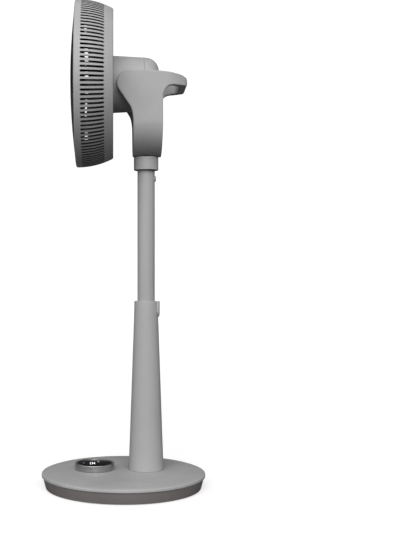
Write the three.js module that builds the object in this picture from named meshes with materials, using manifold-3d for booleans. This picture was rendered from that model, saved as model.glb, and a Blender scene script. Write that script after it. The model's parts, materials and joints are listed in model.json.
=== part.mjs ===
// A free-standing pedestal fan on a telescopic pole. Millimetres, +Z up, front towards -X.
// The origin is the middle of the base where it meets the floor.
import * as THREE from 'three';
import { mergeVertices } from 'three/addons/utils/BufferGeometryUtils.js';
import Module from 'manifold-3d';

// ---- Fits ----
const SEAT_GAP = 0.3; // between pieces that rest on or in each other
const RUN_GAP = 0.6; // between pieces that move past each other

// ---- Base ----
const BASE_R = 170;
const BASE_TOP_Z = 37.4;
const DIAL_MARGIN = 3.4;
const BEVEL_W = 6;
const BEVEL_R = BASE_R - BEVEL_W;
const BEVEL_Z = 33;
const LIP_TOP_Z = 31;
const LIP_BOTTOM_Z = 26;
const COVER_WALL = 2.5;
const SKIRT_TOP_INSET = 2;
const SKIRT_TOP_R = BASE_R - SKIRT_TOP_INSET;
const SKIRT_DRAFT = 6.5;
const SKIRT_BOTTOM_R = SKIRT_TOP_R - SKIRT_DRAFT;
const SKIRT_WALL = 3;
const FLOOR_GAP = 2;
const PLATE_T = 2;
const LEDGE_T = 2.5;
const LEDGE_W = 8;
const WEIGHT_INSET = 50;
const WEIGHT_R = BASE_R - WEIGHT_INSET;
const WEIGHT_T = 8;
const FOOT_COUNT = 5;
const FOOT_R = 10;
const FOOT_INSET = 40;
const FOOT_RING_R = BASE_R - FOOT_INSET;
const BOSS_COUNT = 4;
const BOSS_R = 4.5;
const BOSS_INSET = 30;
const BOSS_RING_R = BASE_R - BOSS_INSET;
const BASE_SCREW_R = 1.75;
const BASE_SCREW_HEAD_R = 3.6;
const BASE_SCREW_DEPTH = 14;
const INLET_W = 18;
const INLET_H = 11;
const INLET_Z = 13.5;
const INLET_LENGTH = 14;
const INLET_RECESS_DEPTH = 5.5;
const INLET_RIM = 2;
const JACK_R = 2.6;
const JACK_PIN_R = 0.9;

// ---- Dial and display ----
const DIAL_X = -59.8;
const LENS_R = 35.5;
const DIAL_RIM_W = 5.3;
const DIAL_R = LENS_R + DIAL_RIM_W;
const BASE_FLAT_R = DIAL_R - DIAL_X + DIAL_MARGIN;
const DIAL_H = 13.6;
const DIAL_FLANGE_T = 2.8;
const LENS_T = 2.3;
const DIAL_SLEEVE_R = 16.5;
const DIAL_SLEEVE_WALL = 2;
const DIAL_SLEEVE_DROP = 9;
const CARRIER_T = 2.5;
const ENCODER_R = 27;
const ENCODER_H = 10;
const BOARD_W = 75;
const BOARD_D = 76;
const BOARD_T = 1.6;
const BOARD_Z = 20;

// ---- Column and tube ----
const COLUMN_X = 47.4;
const TUBE_R = 18.1;
const GUIDE_ROOM = 3.9;
const GUIDE_R = TUBE_R + GUIDE_ROOM;
const COLUMN_SKIN = 2.6;
const COLUMN_TOP_R = GUIDE_R + COLUMN_SKIN;
const COLUMN_NECK_FLARE = 0.7;
const COLUMN_NECK_R = COLUMN_TOP_R + COLUMN_NECK_FLARE;
const COLUMN_FLARE = 11;
const COLUMN_BOTTOM_R = COLUMN_NECK_R + COLUMN_FLARE;
const COLUMN_TOP_Z = 388;
const COLUMN_NECK_L = 38;
const COLUMN_NECK_Z = COLUMN_TOP_Z - COLUMN_NECK_L;
const COLUMN_WALL = 2.2;
const COLUMN_CAP_T = 3;
const TUBE_WALL = 1.5;
const TUBE_TOP_Z = 660;
const TUBE_OVERLAP = 62;
const GUIDE_WALL = 1.2;
const BUSH_L = 35;
const STOP_L = 20;
const SOCKET_FLANGE_W = 9.7;
const SOCKET_FLANGE_R = COLUMN_BOTTOM_R + SOCKET_FLANGE_W;
const SOCKET_FLANGE_T = 4;
const SOCKET_TOP_Z = 60;
const SOCKET_CABLE_R = 8;
const COLUMN_SCREW_COUNT = 3;
const COLUMN_SCREW_R = 3;
const COLUMN_SCREW_HEAD_R = 5;
const COLUMN_SCREW_HEAD_H = 4;
const COLUMN_SCREW_OUT = 3.2;
const COLUMN_SCREW_RING_R = COLUMN_BOTTOM_R + COLUMN_SCREW_OUT;

// ---- Height button and snap button ----
const HEIGHT_BUTTON_W = 24;
const HEIGHT_BUTTON_L = 32.4;
const HEIGHT_BUTTON_TOP_Z = COLUMN_TOP_Z - RUN_GAP;
const HEIGHT_BUTTON_BOTTOM_Z = HEIGHT_BUTTON_TOP_Z - HEIGHT_BUTTON_L;
const HEIGHT_BUTTON_PROUD = 3;
const HEIGHT_BUTTON_PROUD_R = COLUMN_NECK_R + HEIGHT_BUTTON_PROUD;
const HEIGHT_STEM_R = 3;
const HEIGHT_STEM_REACH = 2.9;
const HEIGHT_STEM_TIP_R = TUBE_R + HEIGHT_STEM_REACH;
const SNAP_DROP = 17.6;
const SNAP_Z = TUBE_TOP_Z - SNAP_DROP;
const SNAP_R = 5.85;
const SNAP_PROUD = 2.7;
const SNAP_LENGTH = 7.4;

// ---- Collar, spigot and swing drive ----
const COLLAR_OUT = 7.5;
const COLLAR_R = TUBE_R + COLLAR_OUT;
const COLLAR_RISE = 27;
const COLLAR_TOP_Z = TUBE_TOP_Z + COLLAR_RISE;
const COLLAR_WALL = 3.3;
const COLLAR_ROOF_T = 3;
const WASHER_T = 2.6;
const WASHER_INSET = 3.6;
const WASHER_R = COLLAR_R - WASHER_INSET;
const SPIGOT_L = 50;
const SPIGOT_WALL = 3;
const SPIGOT_FLANGE_T = 6;
const SPIGOT_TOP_R = 14;
const SPIGOT_BORE_R = 10;
const SWING_MODULE = 1.4;
const TILT_MODULE = 1.1;
const GEAR_TEETH = 28;
const PINION_TEETH = 10;
const GEAR_BACKLASH = 0.4;
const GEAR_T = 6;
const SWING_MOTOR_R = 13.6;
const SWING_MOTOR_H = 18;
const SWING_REACH = (GEAR_TEETH / 2 + PINION_TEETH + 1) * SWING_MODULE + GEAR_BACKLASH + RUN_GAP;

// ---- Yoke ----
const YOKE_Z = COLLAR_TOP_Z + RUN_GAP;
const YOKE_ARM_T = 6;
const HOUSING_R = 58.8;
const HOUSING_SIDE_GAP = 2.2;
const YOKE_HALF_W = HOUSING_R + HOUSING_SIDE_GAP + YOKE_ARM_T;
const YOKE_FLOOR_Z = 61;
const YOKE_CORNER_R = 33;
const YOKE_WALL = 3;
const HOLLOW_R = YOKE_HALF_W - YOKE_WALL;
const HOLLOW_WIDE_Z = YOKE_HALF_W - Math.sqrt(HOLLOW_R ** 2 - SWING_REACH ** 2);
const HUB_RISE = 1.315; // hub's top above the height where the hollow takes the pinion
const HUB_H = HOLLOW_WIDE_Z + HUB_RISE;
const GEAR_Z = HUB_H + RUN_GAP;
const SPIGOT_PROUD = 2;
const SPIGOT_RISE = GEAR_Z + GEAR_T + SPIGOT_PROUD;
const YOKE_FRONT_X = -28;
const YOKE_REAR_X = 31.1;
const YOKE_WAIST_X = 32.3;
const YOKE_SHOULDER_Z = 58.4;
const YOKE_LOBE_R = 26;
const HANDLE_UNDER_Z = 139.3;
const HANDLE_REAR_X = 83;
const HANDLE_BAR_T = 16.4;
const HANDLE_SPLIT_Z = 105;
const HUB_R = 20;
const COVER_HALF_W = 27;
const COVER_T = 2.7;
const CAVITY_TOP_Z = 56;
const YOKE_SCREW_X = 20;
const YOKE_SCREW_Y = -22;
const YOKE_SCREW_R = 1.6;
const YOKE_SCREW_HEAD_R = 3;
const YOKE_SCREW_L = 12;

// ---- Head: drum, grilles and housing ----
const PIVOT_RISE = 143.9;
const PIVOT_Z = YOKE_Z + PIVOT_RISE;
const PIVOT_DROP = 7.5;
const HEAD_Z = PIVOT_Z + PIVOT_DROP;
const DRUM_REAR_X = -21;
const DRUM_R = 172;
const DRUM_DEPTH = 77.4;
const DRUM_SHOULDER = 13.5;
const DRUM_SWEEP_R = DRUM_R - DRUM_SHOULDER;
const DRUM_FILLET = 3;
const DRUM_REAR_ROUND = 2.5;
const DRUM_LIP_W = 7;
const DRUM_WALL = 3;
const DRUM_REAR_BAND = 18;
const DRUM_FRONT_BAND = 13.1;
const SLOT_COUNT = 120;
const SLOT_W = 4.1;
const FLANGE_W = 9;
const GRILLE_T = 3;
const GRILLE_DOME = 11.3;
const GRILLE_RING_W = 6;
const RIB_COUNT = 40;
const RIB_W = 1.8;
const RIB_T = 4;
const CAP_R = 26;
const REAR_HUB_W = 3.2;
const REAR_HUB_R = HOUSING_R + REAR_HUB_W;
const HOUSING_DRAFT = 5.4;
const HOUSING_END_R = HOUSING_R - HOUSING_DRAFT;
const HOUSING_LENGTH = 94.5;
const HOUSING_SPLIT_X = 63;
const HOUSING_ROUND = 28;
const HOUSING_WALL = 2.5;
const SHAFT_HOLE_R = 14;

// ---- Tilt pivot ----
const PIVOT_X = 11.7;
const PIVOT_R = 6;
const PIVOT_BOSS_R = 11;
const PIVOT_BOSS_L = 11.8;
const PIVOT_BOSS_INNER_Y = HOUSING_R - PIVOT_BOSS_L;
const PIVOT_BLIND = 1.5;
const TILT_GEAR_T = 5;
const TILT_MOTOR_R = 12.5;
const TILT_MOTOR_H = 16;

// ---- Motor and blades ----
const MOUNT_INSET = 10.8;
const MOUNT_R = HOUSING_R - MOUNT_INSET;
const MOUNT_T = 3;
const MOUNT_HUB_R = 12.5;
const MOUNT_HUB_L = 33;
const BEARING_R = 9.7;
const BEARING_W = 6;
const SHAFT_R = 4;
const ROTOR_ROOM = 11;
const ROTOR_R = PIVOT_BOSS_INNER_Y - ROTOR_ROOM;
const STATOR_ROOM = 5;
const STATOR_R = ROTOR_R - STATOR_ROOM;
const STATOR_X = 13;
const STATOR_L = 16;
const STATOR_TEETH = 12;
const ROTOR_WALL = 2.4;
const ROTOR_X = 12;
const ROTOR_L = 26;
const BLADE_COUNT = 7;
const BLADE_TIP_ROOM = 8.5;
const BLADE_R = DRUM_SWEEP_R - BLADE_TIP_ROOM;
const BLADE_T = 2.4;
const BLADE_FRONT_X = -54;
const BLADE_DEPTH = 40;
const BLADE_STEPS = 4;
const BLADE_ROOT_SUNK = 2;
const BLADE_SWEEP = 0.32; // radians at the tip
const BLADE_ROOT_TURN = 0.72; // radians from edge to edge
const BLADE_TIP_TURN = 0.78;
const BLADE_ROOT_PITCH = 0.8; // share of the depth
const BLADE_TIP_PITCH = 0.96;
const BLADE_CAMBER = 3.5;
const BLADE_TIP_START = 0.7;
const BLADE_TIP_ROUND = 0.5;
const FAN_HUB_R = 32;
const FAN_HUB_FRONT_X = -52;
const FAN_HUB_L = 36;
const FAN_HUB_WALL = 3;
const FAN_HUB_FLAT_R = 19.2;
const FAN_BOSS_R = 11;
const FAN_BOSS_ROOT = 5;
const FAN_BOSS_SHORT = 6;
const NUT_R = 15;
const NUT_H = 7;

// ---- Facets round a full turn ----
const DRUM_FACETS = 40;
const BASE_FACETS = 36;
const WIDE_FACETS = 24;
const ROUND_FACETS = 16;
const SMALL_FACETS = 6;

const wasm = await Module();
wasm.setup();

// ---- Materials ----
function finish(color, roughness, metalness) {
  return () => new THREE.MeshStandardMaterial({ color, roughness, metalness });
}
const greyPlastic = finish(0xa6a6a6, 0.55, 0);
const skirtPlastic = finish(0x6f6a66, 0.6, 0);
const darkPlastic = finish(0x2b2b2d, 0.6, 0);
const whitePlastic = finish(0xdededc, 0.5, 0);
const rubber = finish(0x1c1c1c, 0.9, 0);
const steel = finish(0x9a9da0, 0.35, 1);
const castIron = finish(0x4b4d50, 0.7, 0.8);
const brushedMetal = finish(0x8c8a87, 0.3, 1);
const paintedMetal = finish(0xa6a6a6, 0.4, 0.1);
const glass = finish(0x0b0c0e, 0.08, 0);
const copper = finish(0xa0622f, 0.45, 0.8);
const circuit = finish(0x1f4a33, 0.6, 0.1);

// ---- Shape helpers ----

// Signed volume of an indexed triangle mesh, negative when its faces point inwards.
function signedVolume(positions, index) {
  const a = new THREE.Vector3();
  const b = new THREE.Vector3();
  const c = new THREE.Vector3();
  let volume = 0;
  for (let i = 0; i < index.length; i += 3) {
    a.fromArray(positions, 3 * index[i]);
    b.fromArray(positions, 3 * index[i + 1]);
    c.fromArray(positions, 3 * index[i + 2]);
    volume += a.dot(b.cross(c)) / 6;
  }
  return volume;
}

// A closed geometry as a solid with shared vertices and outward faces.
function solid(geometry) {
  const bare = geometry.clone();
  bare.deleteAttribute('normal');
  bare.deleteAttribute('uv');
  const merged = mergeVertices(bare, 1e-3);
  const positions = merged.attributes.position.array;
  const source = merged.index.array;
  const index = [];
  for (let i = 0; i < source.length; i += 3) {
    const [a, b, c] = [source[i], source[i + 1], source[i + 2]];
    if (a !== b && b !== c && c !== a) index.push(a, b, c);
  }
  if (signedVolume(positions, index) < 0) {
    for (let i = 0; i < index.length; i += 3) {
      [index[i], index[i + 1]] = [index[i + 1], index[i]];
    }
  }
  const vertProperties = new Float32Array(positions);
  const triVerts = new Uint32Array(index);
  return new wasm.Manifold(new wasm.Mesh({ numProp: 3, vertProperties, triVerts }));
}

// Turns a geometry whose axis is Z onto another axis, its +Z going to that axis's plus side.
function alongAxis(geometry, axis) {
  if (axis === 'x') geometry.rotateY(Math.PI / 2);
  if (axis === 'y') geometry.rotateX(-Math.PI / 2);
  return geometry;
}

// A solid of revolution from [radius, height] points, which close on the axis or on themselves.
function turned(profile, facets, axis = 'z', at = [0, 0, 0]) {
  const points = profile.map(([r, h]) => new THREE.Vector2(r, h));
  if (profile[0][0] > 0) points.push(points[0].clone());
  const geometry = new THREE.LatheGeometry(points, facets).rotateX(Math.PI / 2);
  return solid(alongAxis(geometry, axis).translate(...at));
}

// A plain round bar from height h0 to h1.
function bar(r, h0, h1, facets = SMALL_FACETS, axis = 'z', at = [0, 0, 0]) {
  return turned([[0, h0], [r, h0], [r, h1], [0, h1]], facets, axis, at);
}

// A round tube from height h0 to h1.
function pipe(outer, inner, h0, h1, facets = ROUND_FACETS, axis = 'z', at = [0, 0, 0]) {
  return turned([[inner, h0], [outer, h0], [outer, h1], [inner, h1]], facets, axis, at);
}

// A box between two corners.
function block([x0, y0, z0], [x1, y1, z1]) {
  const geometry = new THREE.BoxGeometry(x1 - x0, y1 - y0, z1 - z0);
  return solid(geometry.translate((x0 + x1) / 2, (y0 + y1) / 2, (z0 + z1) / 2));
}

// A flat outline in X and Y, made thick upwards from z = 0.
function slab(shape, depth, curveSegments = 6) {
  return new THREE.ExtrudeGeometry(shape, { depth, bevelEnabled: false, steps: 1, curveSegments });
}

// An outline drawn in X and Z, made thick evenly to both sides of y = 0.
function sideSlab(shape, halfWidth, curveSegments) {
  const geometry = slab(shape, 2 * halfWidth, curveSegments);
  return solid(geometry.rotateX(Math.PI / 2).translate(0, halfWidth, 0));
}

// An outline drawn in Y and Z, made thick from x0 to x1.
function frontSlab(shape, x0, x1, curveSegments) {
  const geometry = slab(shape, x1 - x0, curveSegments);
  geometry.rotateX(Math.PI / 2).rotateZ(Math.PI / 2);
  return solid(geometry.translate(x0, 0, 0));
}

// Places round a ring as [x, y, angle].
function ringPlaces(count, radius, start = 0) {
  return Array.from({ length: count }, (_, i) => {
    const angle = start + (2 * Math.PI * i) / count;
    return [radius * Math.cos(angle), radius * Math.sin(angle), angle];
  });
}

// Joins a list of solids.
function joined(solids) {
  return wasm.Manifold.union(solids);
}

// A named mesh made from a solid.
function piece(name, material, shape) {
  const { vertProperties, triVerts } = shape.getMesh();
  const geometry = new THREE.BufferGeometry();
  geometry.setAttribute('position', new THREE.BufferAttribute(vertProperties, 3));
  geometry.setIndex(new THREE.BufferAttribute(triVerts, 1));
  geometry.computeVertexNormals();
  const mesh = new THREE.Mesh(geometry, material());
  mesh.name = name;
  return mesh;
}

// A round-headed screw whose head rests on z = 0 and whose shank goes down.
function screw(headR, headH, shankR, length) {
  const profile = [[0, -length], [shankR, -length], [shankR, 0], [headR, 0]];
  profile.push([headR, 0.7 * headH], [0.8 * headR, headH], [0, headH]);
  return turned(profile, SMALL_FACETS);
}

// A spur gear outline with straight-sided teeth, a tooth on the +X side unless it is turned.
function gearShape(teeth, module, turn = 0) {
  const shape = new THREE.Shape();
  const pitchR = (teeth * module) / 2;
  const step = (2 * Math.PI) / teeth;
  const outline = [[-0.34, -1.15], [-0.11, 0.9], [0.11, 0.9], [0.34, -1.15]];
  for (let tooth = 0; tooth < teeth; tooth += 1) {
    for (const [share, height] of outline) {
      const angle = turn + (tooth + share) * step;
      const r = pitchR + height * module;
      const point = [r * Math.cos(angle), r * Math.sin(angle)];
      if (tooth === 0 && share === outline[0][0]) shape.moveTo(...point);
      else shape.lineTo(...point);
    }
  }
  return shape;
}

// ---- Base ----
const plateTopZ = FLOOR_GAP + PLATE_T;
const weightZ = plateTopZ + SEAT_GAP;
const socketZ = weightZ + WEIGHT_T + SEAT_GAP;
const skirtTopZ = LIP_BOTTOM_Z - SEAT_GAP;

const LIP_EDGE = 0.8;
const LIP_CROWN = 0.3;
const COVER_BEND_EXTRA = 0.6;

function coverProfile() {
  const outer = [[0, BASE_TOP_Z], [BASE_FLAT_R, BASE_TOP_Z]];
  const crownSteps = 3;
  for (let i = 1; i < crownSteps; i += 1) {
    const t = i / crownSteps;
    const r = THREE.MathUtils.lerp(BASE_FLAT_R, BEVEL_R, t);
    outer.push([r, BASE_TOP_Z - (BASE_TOP_Z - BEVEL_Z) * t * t]);
  }
  outer.push([BEVEL_R, BEVEL_Z], [BASE_R - LIP_EDGE, LIP_TOP_Z + LIP_CROWN], [BASE_R, LIP_TOP_Z - LIP_EDGE]);
  outer.push([BASE_R, LIP_BOTTOM_Z]);
  const inner = [[BASE_R - COVER_WALL, LIP_BOTTOM_Z], [BASE_R - COVER_WALL, LIP_TOP_Z - COVER_WALL]];
  inner.push([BEVEL_R, BEVEL_Z - COVER_WALL - COVER_BEND_EXTRA], [BASE_FLAT_R, BASE_TOP_Z - COVER_WALL]);
  inner.push([0, BASE_TOP_Z - COVER_WALL]);
  return outer.concat(inner);
}

// Outer radius of the sloping skirt at a height.
function skirtRadius(z) {
  const t = (z - FLOOR_GAP) / (LIP_BOTTOM_Z - FLOOR_GAP);
  return THREE.MathUtils.lerp(SKIRT_BOTTOM_R, SKIRT_TOP_R, t);
}

// The tapered column's outer radius at a height.
function columnRadius(z) {
  const t = (z - BASE_TOP_Z) / (COLUMN_NECK_Z - BASE_TOP_Z);
  return THREE.MathUtils.lerp(COLUMN_BOTTOM_R, COLUMN_NECK_R, t);
}

const socketR = columnRadius(SOCKET_TOP_Z) - COLUMN_WALL - SEAT_GAP;
const bossPlaces = ringPlaces(BOSS_COUNT, BOSS_RING_R, Math.PI / BOSS_COUNT);

function baseCover() {
  const bossTopZ = BASE_TOP_Z - COVER_WALL;
  let shape = turned(coverProfile(), BASE_FACETS);
  for (const [x, y] of bossPlaces) {
    shape = shape.add(bar(BOSS_R, weightZ, bossTopZ, SMALL_FACETS, 'z', [x, y, 0]));
    const holeTopZ = weightZ + BASE_SCREW_DEPTH + 1;
    const hole = bar(BASE_SCREW_R + SEAT_GAP, 0, holeTopZ, SMALL_FACETS, 'z', [x, y, 0]);
    shape = shape.subtract(hole);
  }
  const columnHole = bar(socketR + SEAT_GAP, 0, BASE_TOP_Z + 1, WIDE_FACETS, 'z', [COLUMN_X, 0, 0]);
  const dialHoleR = DIAL_SLEEVE_R + RUN_GAP;
  const dialHole = bar(dialHoleR, 0, BASE_TOP_Z + 1, ROUND_FACETS, 'z', [DIAL_X, 0, 0]);
  return shape.subtract(columnHole).subtract(dialHole);
}

function baseSkirt() {
  const bottomInner = SKIRT_BOTTOM_R - SKIRT_WALL;
  const ledgeTopZ = weightZ + LEDGE_T;
  const profile = [[SKIRT_BOTTOM_R, FLOOR_GAP], [skirtRadius(skirtTopZ), skirtTopZ]];
  profile.push([skirtRadius(skirtTopZ) - SKIRT_WALL, skirtTopZ]);
  profile.push([skirtRadius(ledgeTopZ) - SKIRT_WALL, ledgeTopZ]);
  profile.push([bottomInner - LEDGE_W, ledgeTopZ], [bottomInner - LEDGE_W, weightZ]);
  profile.push([bottomInner, weightZ], [bottomInner, FLOOR_GAP]);
  const half = INLET_W / 2 + SEAT_GAP;
  const low = INLET_Z - INLET_H / 2 - SEAT_GAP;
  const window = block([BASE_R / 2, -half, low], [BASE_R, half, low + INLET_H + 2 * SEAT_GAP]);
  return turned(profile, BASE_FACETS).subtract(window);
}

function basePlate() {
  const r = SKIRT_BOTTOM_R - SKIRT_WALL - SEAT_GAP;
  let shape = bar(r, FLOOR_GAP, plateTopZ, BASE_FACETS);
  for (const [x, y] of bossPlaces) {
    shape = shape.subtract(bar(BASE_SCREW_R + SEAT_GAP, 0, weightZ, SMALL_FACETS, 'z', [x, y, 0]));
    const sinkR = BASE_SCREW_HEAD_R + SEAT_GAP;
    shape = shape.subtract(bar(sinkR, 0, FLOOR_GAP + PLATE_T / 2, SMALL_FACETS, 'z', [x, y, 0]));
  }
  return shape;
}

// The screw from below, its flat head sunk in the plate.
function baseScrew() {
  const headTopZ = FLOOR_GAP + PLATE_T / 2 - SEAT_GAP;
  const headZ = FLOOR_GAP - SEAT_GAP;
  const profile = [[0, headZ], [BASE_SCREW_HEAD_R, headZ], [BASE_SCREW_HEAD_R, headTopZ]];
  profile.push([BASE_SCREW_R, headTopZ], [BASE_SCREW_R, weightZ + BASE_SCREW_DEPTH]);
  profile.push([0, weightZ + BASE_SCREW_DEPTH]);
  return turned(profile, SMALL_FACETS);
}

const columnScrewPlaces = ringPlaces(COLUMN_SCREW_COUNT, COLUMN_SCREW_RING_R)
  .map(([x, y]) => [x + COLUMN_X, y, 0]);

function columnScrewHoles() {
  const r = COLUMN_SCREW_R + SEAT_GAP;
  const topZ = socketZ + SOCKET_FLANGE_T + 1;
  return joined(columnScrewPlaces.map((at) => bar(r, plateTopZ, topZ, SMALL_FACETS, 'z', at)));
}

function baseWeight() {
  return bar(WEIGHT_R, weightZ, weightZ + WEIGHT_T, BASE_FACETS).subtract(columnScrewHoles());
}

function columnSocket() {
  const floorZ = socketZ + SOCKET_FLANGE_T;
  const boreR = GUIDE_R + SEAT_GAP;
  const profile = [[SOCKET_CABLE_R, socketZ], [SOCKET_FLANGE_R, socketZ]];
  profile.push([SOCKET_FLANGE_R, floorZ], [socketR, floorZ], [socketR, SOCKET_TOP_Z]);
  profile.push([boreR, SOCKET_TOP_Z], [boreR, floorZ], [SOCKET_CABLE_R, floorZ]);
  return turned(profile, WIDE_FACETS, 'z', [COLUMN_X, 0, 0]).subtract(columnScrewHoles());
}

function inletSocket() {
  const frontX = skirtRadius(INLET_Z - INLET_H / 2) - 0.5;
  const half = INLET_W / 2;
  const low = INLET_Z - INLET_H / 2;
  const recessX = frontX - INLET_RECESS_DEPTH;
  const backX = frontX - INLET_LENGTH;
  const recess = block(
    [recessX, INLET_RIM - half, low + INLET_RIM],
    [frontX + 1, half - INLET_RIM, low + INLET_H - INLET_RIM],
  );
  const jackEndX = backX + INLET_RIM;
  const jack = pipe(JACK_R, JACK_PIN_R, jackEndX, recessX + 1, SMALL_FACETS, 'x', [0, 0, INLET_Z]);
  const body = block([backX, -half, low], [frontX, half, low + INLET_H]);
  return body.subtract(recess).subtract(jack);
}

const base = new THREE.Group();
base.add(piece('base_cover', greyPlastic, baseCover()));
base.add(piece('base_skirt', skirtPlastic, baseSkirt()));
base.add(piece('base_plate', steel, basePlate()));
base.add(piece('base_weight', castIron, baseWeight()));
base.add(piece('column_socket', castIron, columnSocket()));
base.add(piece('dc_inlet_socket', darkPlastic, inletSocket()));
ringPlaces(FOOT_COUNT, FOOT_RING_R).forEach(([x, y], i) => {
  const profile = [[0, 0], [FOOT_R - 0.5, 0], [FOOT_R, 0.5], [FOOT_R, FLOOR_GAP - SEAT_GAP]];
  profile.push([0, FLOOR_GAP - SEAT_GAP]);
  const foot = piece(`foot_${i + 1}`, rubber, turned(profile, ROUND_FACETS / 2));
  foot.position.set(x, y, 0);
  base.add(foot);
});
bossPlaces.forEach(([x, y], i) => {
  const mesh = piece(`base_screw_${i + 1}`, steel, baseScrew());
  mesh.position.set(x, y, 0);
  base.add(mesh);
});
columnScrewPlaces.forEach(([x, y], i) => {
  const length = socketZ + SOCKET_FLANGE_T + SEAT_GAP - plateTopZ - SEAT_GAP;
  const shape = screw(COLUMN_SCREW_HEAD_R, COLUMN_SCREW_HEAD_H, COLUMN_SCREW_R, length);
  const mesh = piece(`column_screw_${i + 1}`, steel, shape);
  mesh.position.set(x, y, socketZ + SOCKET_FLANGE_T + SEAT_GAP);
  base.add(mesh);
});

// ---- Dial and display, on the base's flat top ----
const dialTopZ = DIAL_H;
const ringBoreR = LENS_R + RUN_GAP;
const flangeZ = RUN_GAP;
const sleeveBoreR = DIAL_SLEEVE_R - DIAL_SLEEVE_WALL;
const LENS_SUNK = 0.9;
const DIAL_LOW_EDGE = 0.6;
const DIAL_TOP_EDGE = 1;
const LENS_LOW_EDGE = 0.4;
const LENS_TOP_EDGE = 0.5;
const lensTopZ = dialTopZ - LENS_SUNK;
const carrierTopZ = lensTopZ - LENS_T - SEAT_GAP;
const stemR = sleeveBoreR - RUN_GAP;
const boardTopZ = BOARD_Z + BOARD_T - BASE_TOP_Z;

function dialRing() {
  const flangeTopZ = flangeZ + DIAL_FLANGE_T;
  const profile = [[sleeveBoreR, -DIAL_SLEEVE_DROP], [DIAL_SLEEVE_R, -DIAL_SLEEVE_DROP]];
  profile.push([DIAL_SLEEVE_R, flangeZ], [DIAL_R - DIAL_LOW_EDGE, flangeZ], [DIAL_R, flangeZ + DIAL_LOW_EDGE]);
  profile.push([DIAL_R, dialTopZ - DIAL_TOP_EDGE], [DIAL_R - DIAL_TOP_EDGE, dialTopZ]);
  profile.push([ringBoreR + DIAL_TOP_EDGE, dialTopZ], [ringBoreR, dialTopZ - DIAL_TOP_EDGE]);
  profile.push([ringBoreR, flangeTopZ], [sleeveBoreR, flangeTopZ]);
  return turned(profile, WIDE_FACETS);
}

function displayCarrier() {
  const carrierR = LENS_R - SEAT_GAP;
  const profile = [[0, boardTopZ + SEAT_GAP], [stemR, boardTopZ + SEAT_GAP]];
  profile.push([stemR, carrierTopZ - CARRIER_T], [carrierR, carrierTopZ - CARRIER_T]);
  profile.push([carrierR, carrierTopZ], [0, carrierTopZ]);
  return turned(profile, WIDE_FACETS);
}

function displayLens() {
  const low = carrierTopZ + SEAT_GAP;
  const profile = [[0, low], [LENS_R - LENS_LOW_EDGE, low], [LENS_R, low + LENS_LOW_EDGE]];
  profile.push([LENS_R, lensTopZ - LENS_TOP_EDGE], [LENS_R - LENS_TOP_EDGE, lensTopZ], [0, lensTopZ]);
  return turned(profile, WIDE_FACETS);
}

function dialEncoder() {
  const topZ = -COVER_WALL - SEAT_GAP;
  return pipe(ENCODER_R, DIAL_SLEEVE_R + RUN_GAP, topZ - ENCODER_H, topZ);
}

function controlBoard() {
  return block([-BOARD_W / 2, -BOARD_D / 2, BOARD_Z], [BOARD_W / 2, BOARD_D / 2, BOARD_Z + BOARD_T]);
}

const dial = new THREE.Group();
dial.position.set(DIAL_X, 0, BASE_TOP_Z);
dial.add(piece('dial_ring', brushedMetal, dialRing()));
dial.add(piece('display_carrier', darkPlastic, displayCarrier()));
dial.add(piece('display_lens', glass, displayLens()));
dial.add(piece('dial_encoder', darkPlastic, dialEncoder()));
const boardMesh = piece('control_board', circuit, controlBoard());
boardMesh.position.z = -BASE_TOP_Z;
dial.add(boardMesh);

// ---- Column, with the tube that slides in it ----
const capZ = COLUMN_TOP_Z - COLUMN_CAP_T;
const tubeBoreR = TUBE_R + SEAT_GAP;
const guideBoreR = GUIDE_R - GUIDE_WALL;
const guideTopZ = capZ - SEAT_GAP;
const sleeveLowZ = BASE_TOP_Z + SEAT_GAP;
const heightButtonZ = (HEIGHT_BUTTON_TOP_Z + HEIGHT_BUTTON_BOTTOM_Z) / 2;
const buttonInnerR = columnRadius(COLUMN_NECK_Z) - 0.9;
const stemHoleR = HEIGHT_STEM_R + RUN_GAP;

// The height button's outline in Y and Z: square at the top and half round below.
function heightButtonOutline(grow, topZ) {
  const half = HEIGHT_BUTTON_W / 2 + grow;
  const centreZ = HEIGHT_BUTTON_BOTTOM_Z + HEIGHT_BUTTON_W / 2;
  const shape = new THREE.Shape();
  shape.moveTo(half, topZ);
  shape.lineTo(-half, topZ);
  shape.lineTo(-half, centreZ);
  shape.absarc(0, centreZ, half, Math.PI, 2 * Math.PI, false);
  return shape;
}

function columnSleeve() {
  const wallR = (z) => columnRadius(z) - COLUMN_WALL;
  const topBoreR = GUIDE_R + SEAT_GAP;
  const profile = [[columnRadius(sleeveLowZ), sleeveLowZ], [COLUMN_NECK_R, COLUMN_NECK_Z]];
  profile.push([COLUMN_TOP_R, COLUMN_TOP_Z - 2], [COLUMN_TOP_R - 0.6, COLUMN_TOP_Z - 0.6]);
  profile.push([COLUMN_TOP_R - 2, COLUMN_TOP_Z], [tubeBoreR, COLUMN_TOP_Z]);
  profile.push([tubeBoreR, capZ], [topBoreR, capZ], [topBoreR, COLUMN_NECK_Z]);
  profile.push([wallR(SOCKET_TOP_Z), SOCKET_TOP_Z], [wallR(sleeveLowZ), sleeveLowZ]);
  const outline = heightButtonOutline(SEAT_GAP, COLUMN_TOP_Z + 1);
  const window = frontSlab(outline, GUIDE_R / 2, 2 * GUIDE_R, 8)
    .subtract(bar(topBoreR - 0.1, 0, COLUMN_TOP_Z + 2, WIDE_FACETS));
  return turned(profile, WIDE_FACETS).subtract(window);
}

function stemHole() {
  return bar(stemHoleR, TUBE_R / 2, 2 * GUIDE_R, SMALL_FACETS, 'x', [0, 0, heightButtonZ]);
}

function guideTube() {
  const lowZ = socketZ + SOCKET_FLANGE_T + SEAT_GAP;
  return pipe(GUIDE_R, guideBoreR, lowZ, guideTopZ, WIDE_FACETS).subtract(stemHole());
}

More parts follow.
